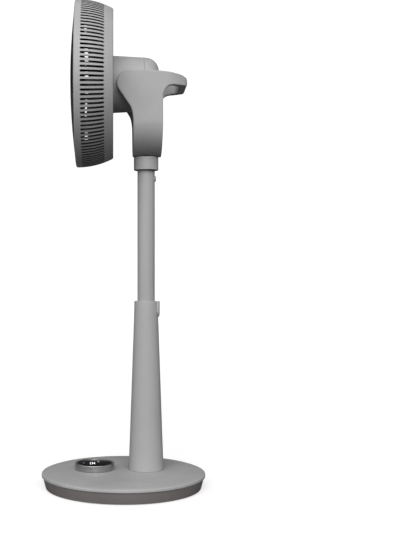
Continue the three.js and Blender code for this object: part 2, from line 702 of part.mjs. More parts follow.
function columnBush() {
  const r = guideBoreR - SEAT_GAP;
  return pipe(r, tubeBoreR, guideTopZ - BUSH_L, guideTopZ, WIDE_FACETS).subtract(stemHole());
}

const BUTTON_LOW_EDGE = 1.5;
const BUTTON_LOW_EDGE_H = 4;
const BUTTON_TOP_EDGE = 1;
const BUTTON_OVER = 1; // how far the turned face runs past the button's outline

function heightButton() {
  const outline = heightButtonOutline(0, HEIGHT_BUTTON_TOP_Z);
  const low = HEIGHT_BUTTON_BOTTOM_Z - BUTTON_OVER;
  const proudR = HEIGHT_BUTTON_PROUD_R;
  const lowEdgeZ = low + BUTTON_OVER + BUTTON_LOW_EDGE_H;
  const profile = [[0, low], [proudR - BUTTON_LOW_EDGE, low], [proudR, lowEdgeZ]];
  profile.push([proudR, HEIGHT_BUTTON_TOP_Z - BUTTON_TOP_EDGE]);
  profile.push([proudR - BUTTON_TOP_EDGE, HEIGHT_BUTTON_TOP_Z], [0, HEIGHT_BUTTON_TOP_Z]);
  const face = turned(profile, WIDE_FACETS);
  const plate = frontSlab(outline, GUIDE_R / 2, 2 * GUIDE_R, 8)
    .intersect(face)
    .subtract(bar(buttonInnerR, 0, COLUMN_TOP_Z + 1, WIDE_FACETS));
  const stemAt = [0, 0, heightButtonZ];
  const stem = bar(HEIGHT_STEM_R, HEIGHT_STEM_TIP_R, buttonInnerR + 1, SMALL_FACETS, 'x', stemAt);
  return plate.add(stem);
}

const tubeLowZ = COLUMN_TOP_Z - TUBE_OVERLAP;
const tubeInnerR = TUBE_R - TUBE_WALL;
const spigotR = tubeInnerR - SEAT_GAP;
const snapHole = bar(SNAP_R + SEAT_GAP, SPIGOT_BORE_R, 2 * TUBE_R, ROUND_FACETS / 2, 'x', [0, 0, SNAP_Z]);

function innerTube() {
  return pipe(TUBE_R, tubeInnerR, tubeLowZ, TUBE_TOP_Z, WIDE_FACETS).subtract(snapHole);
}

function tubeStop() {
  return pipe(guideBoreR - SEAT_GAP, tubeBoreR, tubeLowZ, tubeLowZ + STOP_L, WIDE_FACETS);
}

const flangeLowZ = TUBE_TOP_Z + SEAT_GAP;
const collarBoreR = COLLAR_R - COLLAR_WALL;
const washerSeatZ = COLLAR_TOP_Z - WASHER_T + SEAT_GAP;
const collarNeckR = SPIGOT_TOP_R + SEAT_GAP;

function spigot() {
  const flangeTopZ = flangeLowZ + SPIGOT_FLANGE_T;
  const boreR = spigotR - SPIGOT_WALL;
  const topZ = YOKE_Z + SPIGOT_RISE;
  const profile = [[boreR, TUBE_TOP_Z - SPIGOT_L], [spigotR, TUBE_TOP_Z - SPIGOT_L]];
  profile.push([spigotR, flangeLowZ], [collarBoreR - SEAT_GAP, flangeLowZ]);
  profile.push([collarBoreR - SEAT_GAP, flangeTopZ], [SPIGOT_TOP_R, flangeTopZ], [SPIGOT_TOP_R, topZ]);
  profile.push([SPIGOT_BORE_R, topZ], [SPIGOT_BORE_R, flangeLowZ], [boreR, flangeLowZ]);
  return turned(profile, WIDE_FACETS).subtract(snapHole);
}

function collar() {
  const roofZ = washerSeatZ - COLLAR_ROOF_T;
  const edge = 0.8;
  const profile = [[COLLAR_R - edge, TUBE_TOP_Z], [COLLAR_R, TUBE_TOP_Z + edge]];
  profile.push([COLLAR_R, COLLAR_TOP_Z - edge], [COLLAR_R - edge, COLLAR_TOP_Z]);
  profile.push([WASHER_R + SEAT_GAP, COLLAR_TOP_Z], [WASHER_R + SEAT_GAP, washerSeatZ]);
  profile.push([collarNeckR, washerSeatZ], [collarNeckR, roofZ], [collarBoreR, roofZ]);
  profile.push([collarBoreR, TUBE_TOP_Z]);
  return turned(profile, WIDE_FACETS);
}

function thrustWasher() {
  const low = washerSeatZ + SEAT_GAP;
  return pipe(WASHER_R, collarNeckR + SEAT_GAP, low, low + WASHER_T - SEAT_GAP, ROUND_FACETS);
}

function snapButton() {
  const tipX = TUBE_R + SNAP_PROUD;
  const profile = [[0, tipX - SNAP_LENGTH], [SNAP_R, tipX - SNAP_LENGTH], [SNAP_R, tipX - 1.4]];
  profile.push([SNAP_R - 1.2, tipX - 0.3], [SNAP_R - 2.6, tipX], [0, tipX]);
  return turned(profile, ROUND_FACETS / 2, 'x', [0, 0, SNAP_Z]);
}

function swingGear() {
  const geometry = slab(gearShape(GEAR_TEETH, SWING_MODULE), GEAR_T);
  const low = YOKE_Z + GEAR_Z;
  const bore = bar(SPIGOT_TOP_R + RUN_GAP, 0, low + 2 * GEAR_T, ROUND_FACETS);
  return solid(geometry.translate(0, 0, low)).subtract(bore);
}

const mast = new THREE.Group();
mast.position.x = COLUMN_X;
mast.add(piece('column_sleeve', paintedMetal, columnSleeve()));
mast.add(piece('guide_tube', steel, guideTube()));
mast.add(piece('column_bush', whitePlastic, columnBush()));
mast.add(piece('height_button', greyPlastic, heightButton()));
mast.add(piece('inner_tube', paintedMetal, innerTube()));
mast.add(piece('tube_stop', whitePlastic, tubeStop()));
mast.add(piece('spigot', darkPlastic, spigot()));
mast.add(piece('collar', greyPlastic, collar()));
mast.add(piece('thrust_washer', whitePlastic, thrustWasher()));
mast.add(piece('snap_button', greyPlastic, snapButton()));
mast.add(piece('swing_gear', whitePlastic, swingGear()));

// ---- Yoke with its carry handle, and the swing drive in its foot ----
// Its frame is on the column's axis at the yoke's underside.
const lobeX = PIVOT_X - COLUMN_X;
const lobeZ = PIVOT_Z - YOKE_Z;
const armInnerY = YOKE_HALF_W - YOKE_ARM_T;

// The yoke seen from its side: the foot, the round lobe at the pivot and the handle behind.
const HANDLE_CHAMFER = 3;
const HANDLE_NOSE_H = 11;
const HANDLE_TOP_H = 17;
const HANDLE_CROWN_H = 21.6;
const HANDLE_CROWN_BACK = 11.4;
const HANDLE_THROAT_DROP = 27.3;
const HANDLE_THROAT_RUN = 20;
const WAIST_LEAN = 6.7;
const WAIST_RISE = 38;
const WAIST_BEND = 10.4;
const LOBE_START = Math.PI * 1.18;
const NOSE_LEAN = 0.6; // how far the handle's end leans back over its foot
const THROAT_PULL = [0.6, -1.5]; // bend of the curve under the handle
const CROWN_PULL = [-2, 0.2]; // bend of the curve along the handle's top

function yokeSideShape() {
  const waist = [YOKE_FRONT_X - WAIST_LEAN, YOKE_SHOULDER_Z + WAIST_RISE];
  const throat = [YOKE_WAIST_X + THROAT_PULL[0], HANDLE_UNDER_Z + THROAT_PULL[1]];
  const crown = [YOKE_WAIST_X + CROWN_PULL[0], lobeZ + YOKE_LOBE_R + CROWN_PULL[1]];
  const shape = new THREE.Shape();
  shape.moveTo(YOKE_FRONT_X, 0);
  shape.lineTo(YOKE_REAR_X, 0);
  shape.lineTo(YOKE_WAIST_X, YOKE_SHOULDER_Z);
  shape.lineTo(YOKE_WAIST_X, HANDLE_UNDER_Z - HANDLE_THROAT_DROP);
  shape.quadraticCurveTo(...throat, YOKE_WAIST_X + HANDLE_THROAT_RUN, HANDLE_UNDER_Z);
  shape.lineTo(HANDLE_REAR_X - HANDLE_CHAMFER, HANDLE_UNDER_Z);
  shape.lineTo(HANDLE_REAR_X - NOSE_LEAN, HANDLE_UNDER_Z + HANDLE_CHAMFER);
  shape.lineTo(HANDLE_REAR_X, HANDLE_UNDER_Z + HANDLE_NOSE_H);
  shape.lineTo(HANDLE_REAR_X - HANDLE_CHAMFER, HANDLE_UNDER_Z + HANDLE_TOP_H);
  shape.lineTo(HANDLE_REAR_X - HANDLE_CROWN_BACK, HANDLE_UNDER_Z + HANDLE_CROWN_H);
  shape.quadraticCurveTo(...crown, lobeX, lobeZ + YOKE_LOBE_R);
  shape.absarc(lobeX, lobeZ, YOKE_LOBE_R, Math.PI / 2, LOBE_START, false);
  shape.lineTo(...waist);
  shape.quadraticCurveTo(YOKE_FRONT_X, waist[1] - WAIST_BEND, YOKE_FRONT_X, YOKE_SHOULDER_Z);
  return shape;
}

// The yoke seen from the front: a U with a round underside.
function yokeFrontShape(topZ) {
  const centreY = armInnerY - YOKE_CORNER_R;
  const centreZ = YOKE_FLOOR_Z + YOKE_CORNER_R;
  const shape = new THREE.Shape();
  shape.moveTo(YOKE_HALF_W, topZ);
  shape.lineTo(armInnerY, topZ);
  shape.absarc(centreY, centreZ, YOKE_CORNER_R, 0, -Math.PI / 2, true);
  shape.absarc(-centreY, centreZ, YOKE_CORNER_R, -Math.PI / 2, -Math.PI, true);
  shape.lineTo(-armInnerY, topZ);
  shape.lineTo(-YOKE_HALF_W, topZ);
  shape.absarc(0, YOKE_HALF_W, YOKE_HALF_W, Math.PI, 2 * Math.PI, false);
  return shape;
}

// One edge of the handle loop seen from above, from the +Y arm round to the -Y arm.
const LOOP_START_X = 0.7;
const LOOP_BEND_BACK = 9;
const LOOP_PULL_BACK = 27;
const LOOP_BEND_IN = 15;
const LOOP_PULL_IN = 21;
const LOOP_END_IN = 33;

function addHandleEdge(shape, armY, rearX, reverse) {
  const side = reverse ? -1 : 1;
  const startX = YOKE_WAIST_X + LOOP_START_X;
  const bend = [rearX - LOOP_BEND_BACK, armY - LOOP_BEND_IN];
  const pullX = rearX - LOOP_PULL_BACK;
  const endY = armY - LOOP_END_IN;
  shape.lineTo(startX, side * armY);
  shape.quadraticCurveTo(pullX, side * armY, bend[0], side * bend[1]);
  shape.quadraticCurveTo(rearX, side * (armY - LOOP_PULL_IN), rearX, side * endY);
  shape.lineTo(rearX, -side * endY);
  shape.quadraticCurveTo(rearX, -side * (armY - LOOP_PULL_IN), bend[0], -side * bend[1]);
  shape.quadraticCurveTo(pullX, -side * armY, startX, -side * armY);
}

// The arms and handle loop seen from above.
function yokePlanShape() {
  const frontX = lobeX - 2 * YOKE_LOBE_R;
  const shape = new THREE.Shape();
  shape.moveTo(frontX, YOKE_HALF_W);
  addHandleEdge(shape, YOKE_HALF_W, HANDLE_REAR_X, false);
  shape.lineTo(frontX, -YOKE_HALF_W);
  shape.lineTo(frontX, -armInnerY);
  addHandleEdge(shape, armInnerY, HANDLE_REAR_X - HANDLE_BAR_T, true);
  shape.lineTo(frontX, armInnerY);
  return shape;
}

const coverBossPlaces = [[-YOKE_SCREW_X, YOKE_SCREW_Y, 0], [YOKE_SCREW_X, YOKE_SCREW_Y, 0]];
const yokeCoverZ = YOKE_FLOOR_Z - COVER_T;

function yoke() {
  const topZ = lobeZ + 2 * YOKE_LOBE_R;
  const frontX = lobeX - 2 * YOKE_LOBE_R;
  const side = sideSlab(yokeSideShape(), 2 * YOKE_HALF_W, 7);
  const arms = frontSlab(yokeFrontShape(topZ), frontX, YOKE_WAIST_X + 0.4, 12);
  const loopGeometry = slab(yokePlanShape(), topZ - HANDLE_SPLIT_Z, 5);
  const loop = solid(loopGeometry.translate(0, 0, HANDLE_SPLIT_Z));
  const outside = side.intersect(arms.add(loop));
  const cavityX = [YOKE_FRONT_X + YOKE_WALL, YOKE_REAR_X - YOKE_WALL];
  const cavityY = YOKE_HALF_W;
  const barrel = bar(HOLLOW_R, ...cavityX, WIDE_FACETS, 'x', [0, 0, YOKE_HALF_W]);
  const wide = block([cavityX[0], -cavityY, YOKE_WALL], [cavityX[1], cavityY, CAVITY_TOP_Z]);
  const mouthY = COVER_HALF_W + SEAT_GAP;
  const mouth = block([cavityX[0], -mouthY, YOKE_WALL], [cavityX[1], mouthY, YOKE_FLOOR_Z + 1]);
  const cavity = barrel.intersect(wide).add(mouth.intersect(barrel));
  let shape = outside.subtract(cavity).add(bar(HUB_R, 0.2, HUB_H, ROUND_FACETS));
  for (const at of coverBossPlaces) {
    shape = shape.add(bar(BOSS_R, 5.6, yokeCoverZ - SEAT_GAP, SMALL_FACETS, 'z', at));
    const hole = bar(YOKE_SCREW_R + SEAT_GAP, yokeCoverZ - YOKE_SCREW_L, topZ, SMALL_FACETS, 'z', at);
    shape = shape.subtract(hole);
  }
  const pinEnd = YOKE_HALF_W - PIVOT_BLIND;
  const pinHole = bar(PIVOT_R + SEAT_GAP, -pinEnd, pinEnd, ROUND_FACETS / 2, 'y', [lobeX, 0, lobeZ]);
  const hubBore = bar(SPIGOT_TOP_R + RUN_GAP, -1, HUB_H + 1, ROUND_FACETS);
  return shape.subtract(pinHole).subtract(hubBore);
}

function yokeCover() {
  const x0 = YOKE_FRONT_X + YOKE_WALL + SEAT_GAP;
  const x1 = YOKE_REAR_X - YOKE_WALL - SEAT_GAP;
  let shape = block([x0, -COVER_HALF_W, yokeCoverZ], [x1, COVER_HALF_W, YOKE_FLOOR_Z]);
  for (const at of coverBossPlaces) {
    shape = shape.subtract(bar(YOKE_SCREW_R + SEAT_GAP, 0, 2 * YOKE_FLOOR_Z, SMALL_FACETS, 'z', at));
  }
  return shape;
}

const swingCentreY = ((GEAR_TEETH + PINION_TEETH) * SWING_MODULE) / 2 + GEAR_BACKLASH;
const swingMotorZ = GEAR_Z + GEAR_T + SPIGOT_PROUD;

function pinion(module, thickness, shaftR, stub, turn) {
  const geometry = slab(gearShape(PINION_TEETH, module, turn), thickness);
  return solid(geometry).add(bar(shaftR, thickness / 2, thickness + stub));
}

const MOTOR_EAR_T = 1.5;
const MOTOR_EAR_OUT = 3.5;
const MOTOR_EAR_HALF_W = 3.5;

// A small geared motor standing on z = 0, with two ears for its screws.
function gearMotor(r, height) {
  const earX = r + MOTOR_EAR_OUT;
  const ears = block([-earX, -MOTOR_EAR_HALF_W, 0], [earX, MOTOR_EAR_HALF_W, MOTOR_EAR_T]);
  return bar(r, 0, height, ROUND_FACETS).add(ears);
}

const neck = new THREE.Group();
neck.position.set(COLUMN_X, 0, YOKE_Z);
neck.add(piece('yoke', greyPlastic, yoke()));
neck.add(piece('yoke_cover', greyPlastic, yokeCover()));
coverBossPlaces.forEach(([x, y], i) => {
  const shape = screw(YOKE_SCREW_HEAD_R, 1.8, YOKE_SCREW_R, YOKE_SCREW_L);
  const mesh = piece(`yoke_screw_${i + 1}`, steel, shape);
  mesh.position.set(x, y, YOKE_FLOOR_Z + SEAT_GAP);
  neck.add(mesh);
});
const swingPinion = piece('swing_pinion', whitePlastic, pinion(SWING_MODULE, GEAR_T, 2.5, 1.6, 0));
swingPinion.position.set(0, swingCentreY, GEAR_Z);
const swingMotor = piece('swing_motor', steel, gearMotor(SWING_MOTOR_R, SWING_MOTOR_H));
swingMotor.position.set(0, swingCentreY, swingMotorZ);
neck.add(swingPinion, swingMotor);

// ---- Tilt pivot: pins fixed in the arms, one of them with the fixed gear ----
const pinOuterY = YOKE_HALF_W - PIVOT_BLIND - SEAT_GAP;
const tiltGearY = PIVOT_BOSS_INNER_Y - RUN_GAP - TILT_GEAR_T;
const tiltCentreX = ((GEAR_TEETH + PINION_TEETH) * TILT_MODULE) / 2 + GEAR_BACKLASH;

function tiltGear() {
  const geometry = alongAxis(slab(gearShape(GEAR_TEETH, TILT_MODULE), TILT_GEAR_T), 'y');
  const bore = bar(PIVOT_R + SEAT_GAP, 0, YOKE_HALF_W, ROUND_FACETS / 2, 'y');
  return solid(geometry.translate(0, tiltGearY, 0)).subtract(bore);
}

const pivot = new THREE.Group();
pivot.position.set(lobeX, 0, lobeZ);
const pinFacets = ROUND_FACETS / 2;
pivot.add(piece('pivot_pin_left', steel, bar(PIVOT_R, -pinOuterY, -PIVOT_BOSS_INNER_Y, pinFacets, 'y')));
pivot.add(piece('pivot_pin_right', steel, bar(PIVOT_R, tiltGearY - 1, pinOuterY, pinFacets, 'y')));
pivot.add(piece('tilt_gear', whitePlastic, tiltGear()));
neck.add(pivot);

// ---- Head ----
// Its frame is on the fan's axis at the drum's rear plane, with +X backwards.
const pivotLocalX = PIVOT_X - DRUM_REAR_X;
const pivotLocalZ = PIVOT_Z - HEAD_Z;
const drumFrontX = -DRUM_DEPTH;
const drumWidestX = drumFrontX + DRUM_FILLET;
const slotFrontX = drumFrontX + DRUM_FRONT_BAND;

// The drum's outer radius, an arc that is widest just behind the front edge.
function drumRadius(x) {
  const back = x - drumWidestX;
  return DRUM_R - DRUM_SWEEP_R + Math.sqrt(DRUM_SWEEP_R ** 2 - back ** 2);
}

const grilleR = DRUM_R - DRUM_LIP_W;

function drum() {
  const edge = DRUM_FILLET * (1 - Math.SQRT1_2);
  const slotRearX = -DRUM_REAR_BAND;
  const rearR = drumRadius(0);
  const rearCut = DRUM_REAR_ROUND * (1 - Math.SQRT1_2);
  const profile = [[rearR - FLANGE_W, 0], [rearR - DRUM_REAR_ROUND, 0]];
  profile.push([rearR - rearCut, -rearCut], [rearR, -DRUM_REAR_ROUND]);
  profile.push([drumRadius(slotRearX), slotRearX], [drumRadius(slotFrontX), slotFrontX]);
  profile.push([DRUM_R, drumWidestX], [DRUM_R - edge, drumFrontX + edge]);
  profile.push([DRUM_R - DRUM_FILLET, drumFrontX], [grilleR, drumFrontX]);
  profile.push([grilleR, drumWidestX + 2], [drumRadius(slotFrontX) - DRUM_WALL, slotFrontX]);
  profile.push([drumRadius(slotRearX) - DRUM_WALL, slotRearX], [rearR - DRUM_WALL, -GRILLE_T]);
  profile.push([rearR - FLANGE_W, -GRILLE_T]);
  const shell = turned(profile, DRUM_FACETS, 'x');
  const cutters = ringPlaces(SLOT_COUNT, 0, Math.PI / SLOT_COUNT).map(([, , angle]) => {
    const reach = 2 * (DRUM_R - rearR) + 4 * DRUM_WALL;
    const geometry = new THREE.BoxGeometry(slotRearX - slotFrontX, SLOT_W, reach);
    geometry.translate((slotRearX + slotFrontX) / 2, 0, (DRUM_R + rearR - DRUM_WALL) / 2);
    return solid(geometry.rotateX(angle));
  });
  return shell.subtract(joined(cutters));
}

// How far the front grille's face stands in front of the drum's edge at a radius.
function domeX(r) {
  return drumFrontX - GRILLE_DOME * (1 - (r / grilleR) ** 2);
}

// One grille rib along +Z, from an outline of [radius, x] points.
function rib(outline) {
  const shape = new THREE.Shape(outline.map(([r, x]) => new THREE.Vector2(x, r)));
  const geometry = slab(shape, RIB_W).translate(0, 0, -RIB_W / 2);
  return geometry.rotateX(Math.PI / 2);
}

// Copies of a rib all round the fan's axis.
function ribRing(geometry) {
  return ringPlaces(RIB_COUNT, 0).map(([, , angle]) => solid(geometry.clone().rotateX(angle)));
}

function frontGrille() {
  const seatR = grilleR - SEAT_GAP;
  const ringInnerR = seatR - GRILLE_RING_W;
  const ribRadii = [CAP_R - 3, ringInnerR + 2];
  const front = ribRadii.map((r) => [r, domeX(r)]);
  const back = ribRadii.map((r) => [r, domeX(r) + RIB_T]).reverse();
  const ringBackX = drumFrontX + 4;
  const ring = turned([[ringInnerR, ringBackX], [seatR, ringBackX], [seatR, drumFrontX - 0.2],
    [ringInnerR, domeX(ringInnerR) - 0.4]], DRUM_FACETS, 'x');
  const cap = turned([[0, domeX(0) + RIB_T + 1], [CAP_R, domeX(CAP_R) + RIB_T + 1],
    [CAP_R, domeX(CAP_R) - 0.6], [CAP_R * 0.6, domeX(0) - 0.3], [0, domeX(0) - 0.5]], WIDE_FACETS, 'x');
  return joined([ring, cap, ...ribRing(rib(front.concat(back)))]);
}

function rearGrille() {
  const backX = -GRILLE_T - SEAT_GAP;
  const frontX = backX - GRILLE_T;
  const outerR = drumRadius(0) - DRUM_WALL - SEAT_GAP - 0.5;
  const ringInnerR = outerR - GRILLE_RING_W - 2;
  const span = [REAR_HUB_R - 2, ringInnerR + 2];
  const outline = [[span[0], frontX], [span[1], frontX], [span[1], backX - 0.4], [span[0], backX - 0.4]];
  const ring = pipe(outerR, ringInnerR, frontX, backX, DRUM_FACETS, 'x');
  const hub = pipe(REAR_HUB_R, SHAFT_HOLE_R, frontX, backX, WIDE_FACETS, 'x');
  return joined([ring, hub, ...ribRing(rib(outline))]);
}

// The housing's outer radius along its length.
function housingRadius(x) {
  return THREE.MathUtils.lerp(HOUSING_R, HOUSING_END_R, Math.max(x, 0) / HOUSING_LENGTH);
}

function pivotBosses(r, innerY, outerY) {
  const at = [pivotLocalX, 0, pivotLocalZ];
  const facets = ROUND_FACETS;
  return [bar(r, innerY, outerY, facets, 'y', at), bar(r, -outerY, -innerY, facets, 'y', at)];
}

function housingFront() {
  const splitR = housingRadius(HOUSING_SPLIT_X);
  const profile = [[SHAFT_HOLE_R, -GRILLE_T], [HOUSING_R, -GRILLE_T], [HOUSING_R, 0]];
  profile.push([splitR, HOUSING_SPLIT_X], [splitR - HOUSING_WALL, HOUSING_SPLIT_X]);
  profile.push([HOUSING_R - HOUSING_WALL, 0], [SHAFT_HOLE_R, 0]);
  const shell = turned(profile, WIDE_FACETS, 'x');
  const bosses = pivotBosses(PIVOT_BOSS_R, PIVOT_BOSS_INNER_Y, armInnerY - RUN_GAP);
  const holes = pivotBosses(PIVOT_R + RUN_GAP, PIVOT_BOSS_INNER_Y - 2, YOKE_HALF_W);
  return joined([shell, ...bosses]).subtract(joined(holes));
}

function housingRear() {
  const x0 = HOUSING_SPLIT_X + SEAT_GAP;
  const arcX = HOUSING_LENGTH - HOUSING_ROUND;
  const arcR = housingRadius(arcX) - HOUSING_ROUND;
  const arcPoint = (radius, angle) => [arcR + radius * Math.cos(angle), arcX + radius * Math.sin(angle)];
  const steps = 3;
  const angles = Array.from({ length: steps + 1 }, (_, i) => (i * Math.PI) / 2 / steps);
  const outer = angles.map((angle) => arcPoint(HOUSING_ROUND, angle));
  const inner = angles.map((angle) => arcPoint(HOUSING_ROUND - HOUSING_WALL, angle)).reverse();
  const profile = [[0, HOUSING_LENGTH - HOUSING_WALL], ...inner];
  profile.push([housingRadius(x0) - HOUSING_WALL, x0], [housingRadius(x0), x0], ...outer);
  profile.push([0, HOUSING_LENGTH]);
  return turned(profile, WIDE_FACETS, 'x');
}

// ---- Motor ----
const mountX = SEAT_GAP;
const hubEndX = mountX + MOUNT_HUB_L;
const bearingBoreR = SHAFT_R + SEAT_GAP;

function motorMount() {
  const boreR = BEARING_R + SEAT_GAP;
  const profile = [[boreR, mountX], [MOUNT_R, mountX], [MOUNT_R, mountX + MOUNT_T]];
  profile.push([MOUNT_HUB_R, mountX + MOUNT_T], [MOUNT_HUB_R, hubEndX], [boreR, hubEndX]);
  return turned(profile, WIDE_FACETS, 'x');
}

function bearing(x) {
  return pipe(BEARING_R, bearingBoreR, x, x + BEARING_W, ROUND_FACETS, 'x');
}

function motorStator() {
  const teeth = new THREE.Shape();
  const coreR = MOUNT_HUB_R + 8;
  const step = (2 * Math.PI) / STATOR_TEETH;
  const outline = [[-0.42, coreR], [-0.2, coreR], [-0.38, STATOR_R], [0.38, STATOR_R], [0.2, coreR]];
  for (let i = 0; i < STATOR_TEETH; i += 1) {
    for (const [share, r] of outline) {
      const angle = (i + share) * step;
      const point = [r * Math.cos(angle), r * Math.sin(angle)];
      if (i === 0 && share === outline[0][0]) teeth.moveTo(...point);
      else teeth.lineTo(...point);
    }
  }
  const geometry = alongAxis(slab(teeth, STATOR_L), 'x').translate(STATOR_X, 0, 0);
  const bore = bar(MOUNT_HUB_R + RUN_GAP, 0, 3 * STATOR_L, ROUND_FACETS, 'x');
  return solid(geometry).subtract(bore);
}

function motorRotor() {
  const endX = ROTOR_X + ROTOR_L;
  const profile = [[bearingBoreR, endX - MOUNT_T], [ROTOR_R - ROTOR_WALL, endX - MOUNT_T]];
  profile.push([ROTOR_R - ROTOR_WALL, ROTOR_X], [ROTOR_R, ROTOR_X], [ROTOR_R, endX]);
  profile.push([bearingBoreR, endX]);
  return turned(profile, WIDE_FACETS, 'x');
}

function motorShaft() {
  return bar(SHAFT_R, FAN_HUB_FRONT_X - NUT_H / 2, ROTOR_X + ROTOR_L + 1, ROUND_FACETS / 2, 'x');
}

// ---- Blades ----

// A thin closed solid between two skins. place(across, out, skin) gives a point, where across
// and out run from 0 to 1 and skin is 0 or 1. Both skins are split along the same diagonals.
function skinned(acrossCount, outCount, place) {
  const positions = [];
  const index = [];
  const row = outCount + 1;
  const skinSize = (acrossCount + 1) * row;
  for (let skin = 0; skin < 2; skin += 1) {
    for (let i = 0; i <= acrossCount; i += 1) {
      for (let j = 0; j <= outCount; j += 1) {
        positions.push(...place(i / acrossCount, j / outCount, skin));
      }
    }
  }
  const quad = (a, b, c, d) => index.push(a, b, c, a, c, d);
  for (let i = 0; i < acrossCount; i += 1) {
    for (let j = 0; j < outCount; j += 1) {
      const a = i * row + j;
      const b = a + skinSize;
      quad(a, a + row, a + row + 1, a + 1);
      quad(b, b + 1, b + row + 1, b + row);
    }
  }
  const rim = [];
  for (let i = 0; i < acrossCount; i += 1) rim.push(i * row);
  for (let j = 0; j < outCount; j += 1) rim.push(acrossCount * row + j);
  for (let i = acrossCount; i > 0; i -= 1) rim.push(i * row + outCount);
  for (let j = outCount; j > 0; j -= 1) rim.push(j);
  rim.forEach((a, k) => {
    const b = rim[(k + 1) % rim.length];
    quad(b, a, a + skinSize, b + skinSize);
  });
  const geometry = new THREE.BufferGeometry();
  geometry.setAttribute('position', new THREE.Float32BufferAttribute(positions, 3));
  geometry.setIndex(index);
  return geometry;
}

// One twisted blade: its leading edge is swept round the axis as it goes outwards.
function blade() {
  const rootR = FAN_HUB_R - BLADE_ROOT_SUNK;
  return skinned(BLADE_STEPS, BLADE_STEPS, (across, out, skin) => {
    const chord = across - 0.5;
    const r = THREE.MathUtils.lerp(rootR, BLADE_R, out);
    const angle = BLADE_SWEEP * out * out + chord * THREE.MathUtils.lerp(BLADE_ROOT_TURN, BLADE_TIP_TURN, out);
    const depth = BLADE_DEPTH * THREE.MathUtils.lerp(BLADE_ROOT_PITCH, BLADE_TIP_PITCH, out) - BLADE_T;
    const bulge = 1 - 4 * chord * chord;
    const tipCut = BLADE_TIP_ROUND * Math.max(out - BLADE_TIP_START, 0) * (1 - bulge);
    const x = BLADE_FRONT_X + BLADE_DEPTH / 2 - chord * depth + BLADE_CAMBER * (bulge - 0.5);
    const reach = r * (1 - tipCut);
    return [x + (skin - 0.5) * BLADE_T, -reach * Math.sin(angle), reach * Math.cos(angle)];
  });
}

function fanBlades() {
  const hubEnd = FAN_HUB_FRONT_X + FAN_HUB_L;
  const wall = FAN_HUB_WALL;
  const shoulderX = FAN_HUB_FRONT_X + 3 * wall;
  const profile = [[bearingBoreR, FAN_HUB_FRONT_X], [FAN_HUB_FLAT_R, FAN_HUB_FRONT_X]];
  profile.push([FAN_HUB_R - wall, FAN_HUB_FRONT_X + wall], [FAN_HUB_R, shoulderX]);
  profile.push([FAN_HUB_R, hubEnd], [FAN_HUB_R - wall, hubEnd]);
  profile.push([FAN_HUB_R - wall, shoulderX], [FAN_BOSS_R, FAN_HUB_FRONT_X + FAN_BOSS_ROOT]);
  profile.push([FAN_BOSS_R, hubEnd - FAN_BOSS_SHORT], [bearingBoreR, hubEnd - FAN_BOSS_SHORT]);
  const hub = turned(profile, WIDE_FACETS, 'x');
  const geometry = blade();
  const blades = ringPlaces(BLADE_COUNT, 0).map(([, , angle]) => solid(geometry.clone().rotateX(angle)));
  const core = bar(FAN_HUB_R - wall / 2, FAN_HUB_FRONT_X - 20, hubEnd + 20, WIDE_FACETS, 'x');
  return hub.add(joined(blades).subtract(core));
}

function bladeNut() {
  const backX = FAN_HUB_FRONT_X - SEAT_GAP;
  const frontX = backX - NUT_H;
  const boreEndX = FAN_HUB_FRONT_X - NUT_H / 2 - SEAT_GAP;
  const profile = [[0, frontX], [NUT_R - 4, frontX], [NUT_R - 1, frontX + 2.5], [NUT_R, backX]];
  profile.push([bearingBoreR, backX], [bearingBoreR, boreEndX], [0, boreEndX]);
  return turned(profile, ROUND_FACETS, 'x');
}

const head = new THREE.Group();
head.position.set(DRUM_REAR_X, 0, HEAD_Z);
head.add(piece('drum', greyPlastic, drum()));
head.add(piece('front_grille', darkPlastic, frontGrille()));
head.add(piece('rear_grille', greyPlastic, rearGrille()));
head.add(piece('motor_housing_front', greyPlastic, housingFront()));
head.add(piece('motor_housing_rear', greyPlastic, housingRear()));
head.add(piece('motor_mount', steel, motorMount()));
head.add(piece('front_bearing', steel, bearing(mountX + 1)));
head.add(piece('rear_bearing', steel, bearing(hubEndX - 1 - BEARING_W)));
head.add(piece('motor_stator', copper, motorStator()));
const tiltMotorY = tiltGearY - 2;
const tiltMotor = piece('tilt_motor', steel, gearMotor(TILT_MOTOR_R, TILT_MOTOR_H));
tiltMotor.rotation.x = Math.PI / 2;
tiltMotor.position.set(pivotLocalX + tiltCentreX, tiltMotorY, pivotLocalZ);
head.add(tiltMotor);
const halfTooth = Math.PI / PINION_TEETH;
const tiltPinion = piece('tilt_pinion', whitePlastic, pinion(TILT_MODULE, TILT_GEAR_T, 2, 1.6, halfTooth));
tiltPinion.rotation.x = Math.PI / 2;
tiltPinion.position.set(pivotLocalX + tiltCentreX, tiltGearY + TILT_GEAR_T, pivotLocalZ);
head.add(tiltPinion);

// ---- Rotor, on the fan's axis ----
const rotor = new THREE.Group();
rotor.add(piece('motor_rotor', steel, motorRotor()));
rotor.add(piece('motor_shaft', steel, motorShaft()));
rotor.add(piece('fan_blades', darkPlastic, fanBlades()));
rotor.add(piece('blade_nut', darkPlastic, bladeNut()));
head.add(rotor);

const group = new THREE.Group();
group.add(base, dial, mast, neck, head);
export default group;
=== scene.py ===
"""The visual model of a free-standing pedestal fan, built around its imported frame.

Every length is in metres. The fan's front is towards -X, and +Z is up. Places come from the
frame's nodes, and each class below holds the further sizes of its own pieces.
"""
import json
import logging
import math
from dataclasses import dataclass
from enum import Enum
from typing import Callable, Iterable, Sequence

import bmesh
import bpy
from mathutils import Matrix, Vector


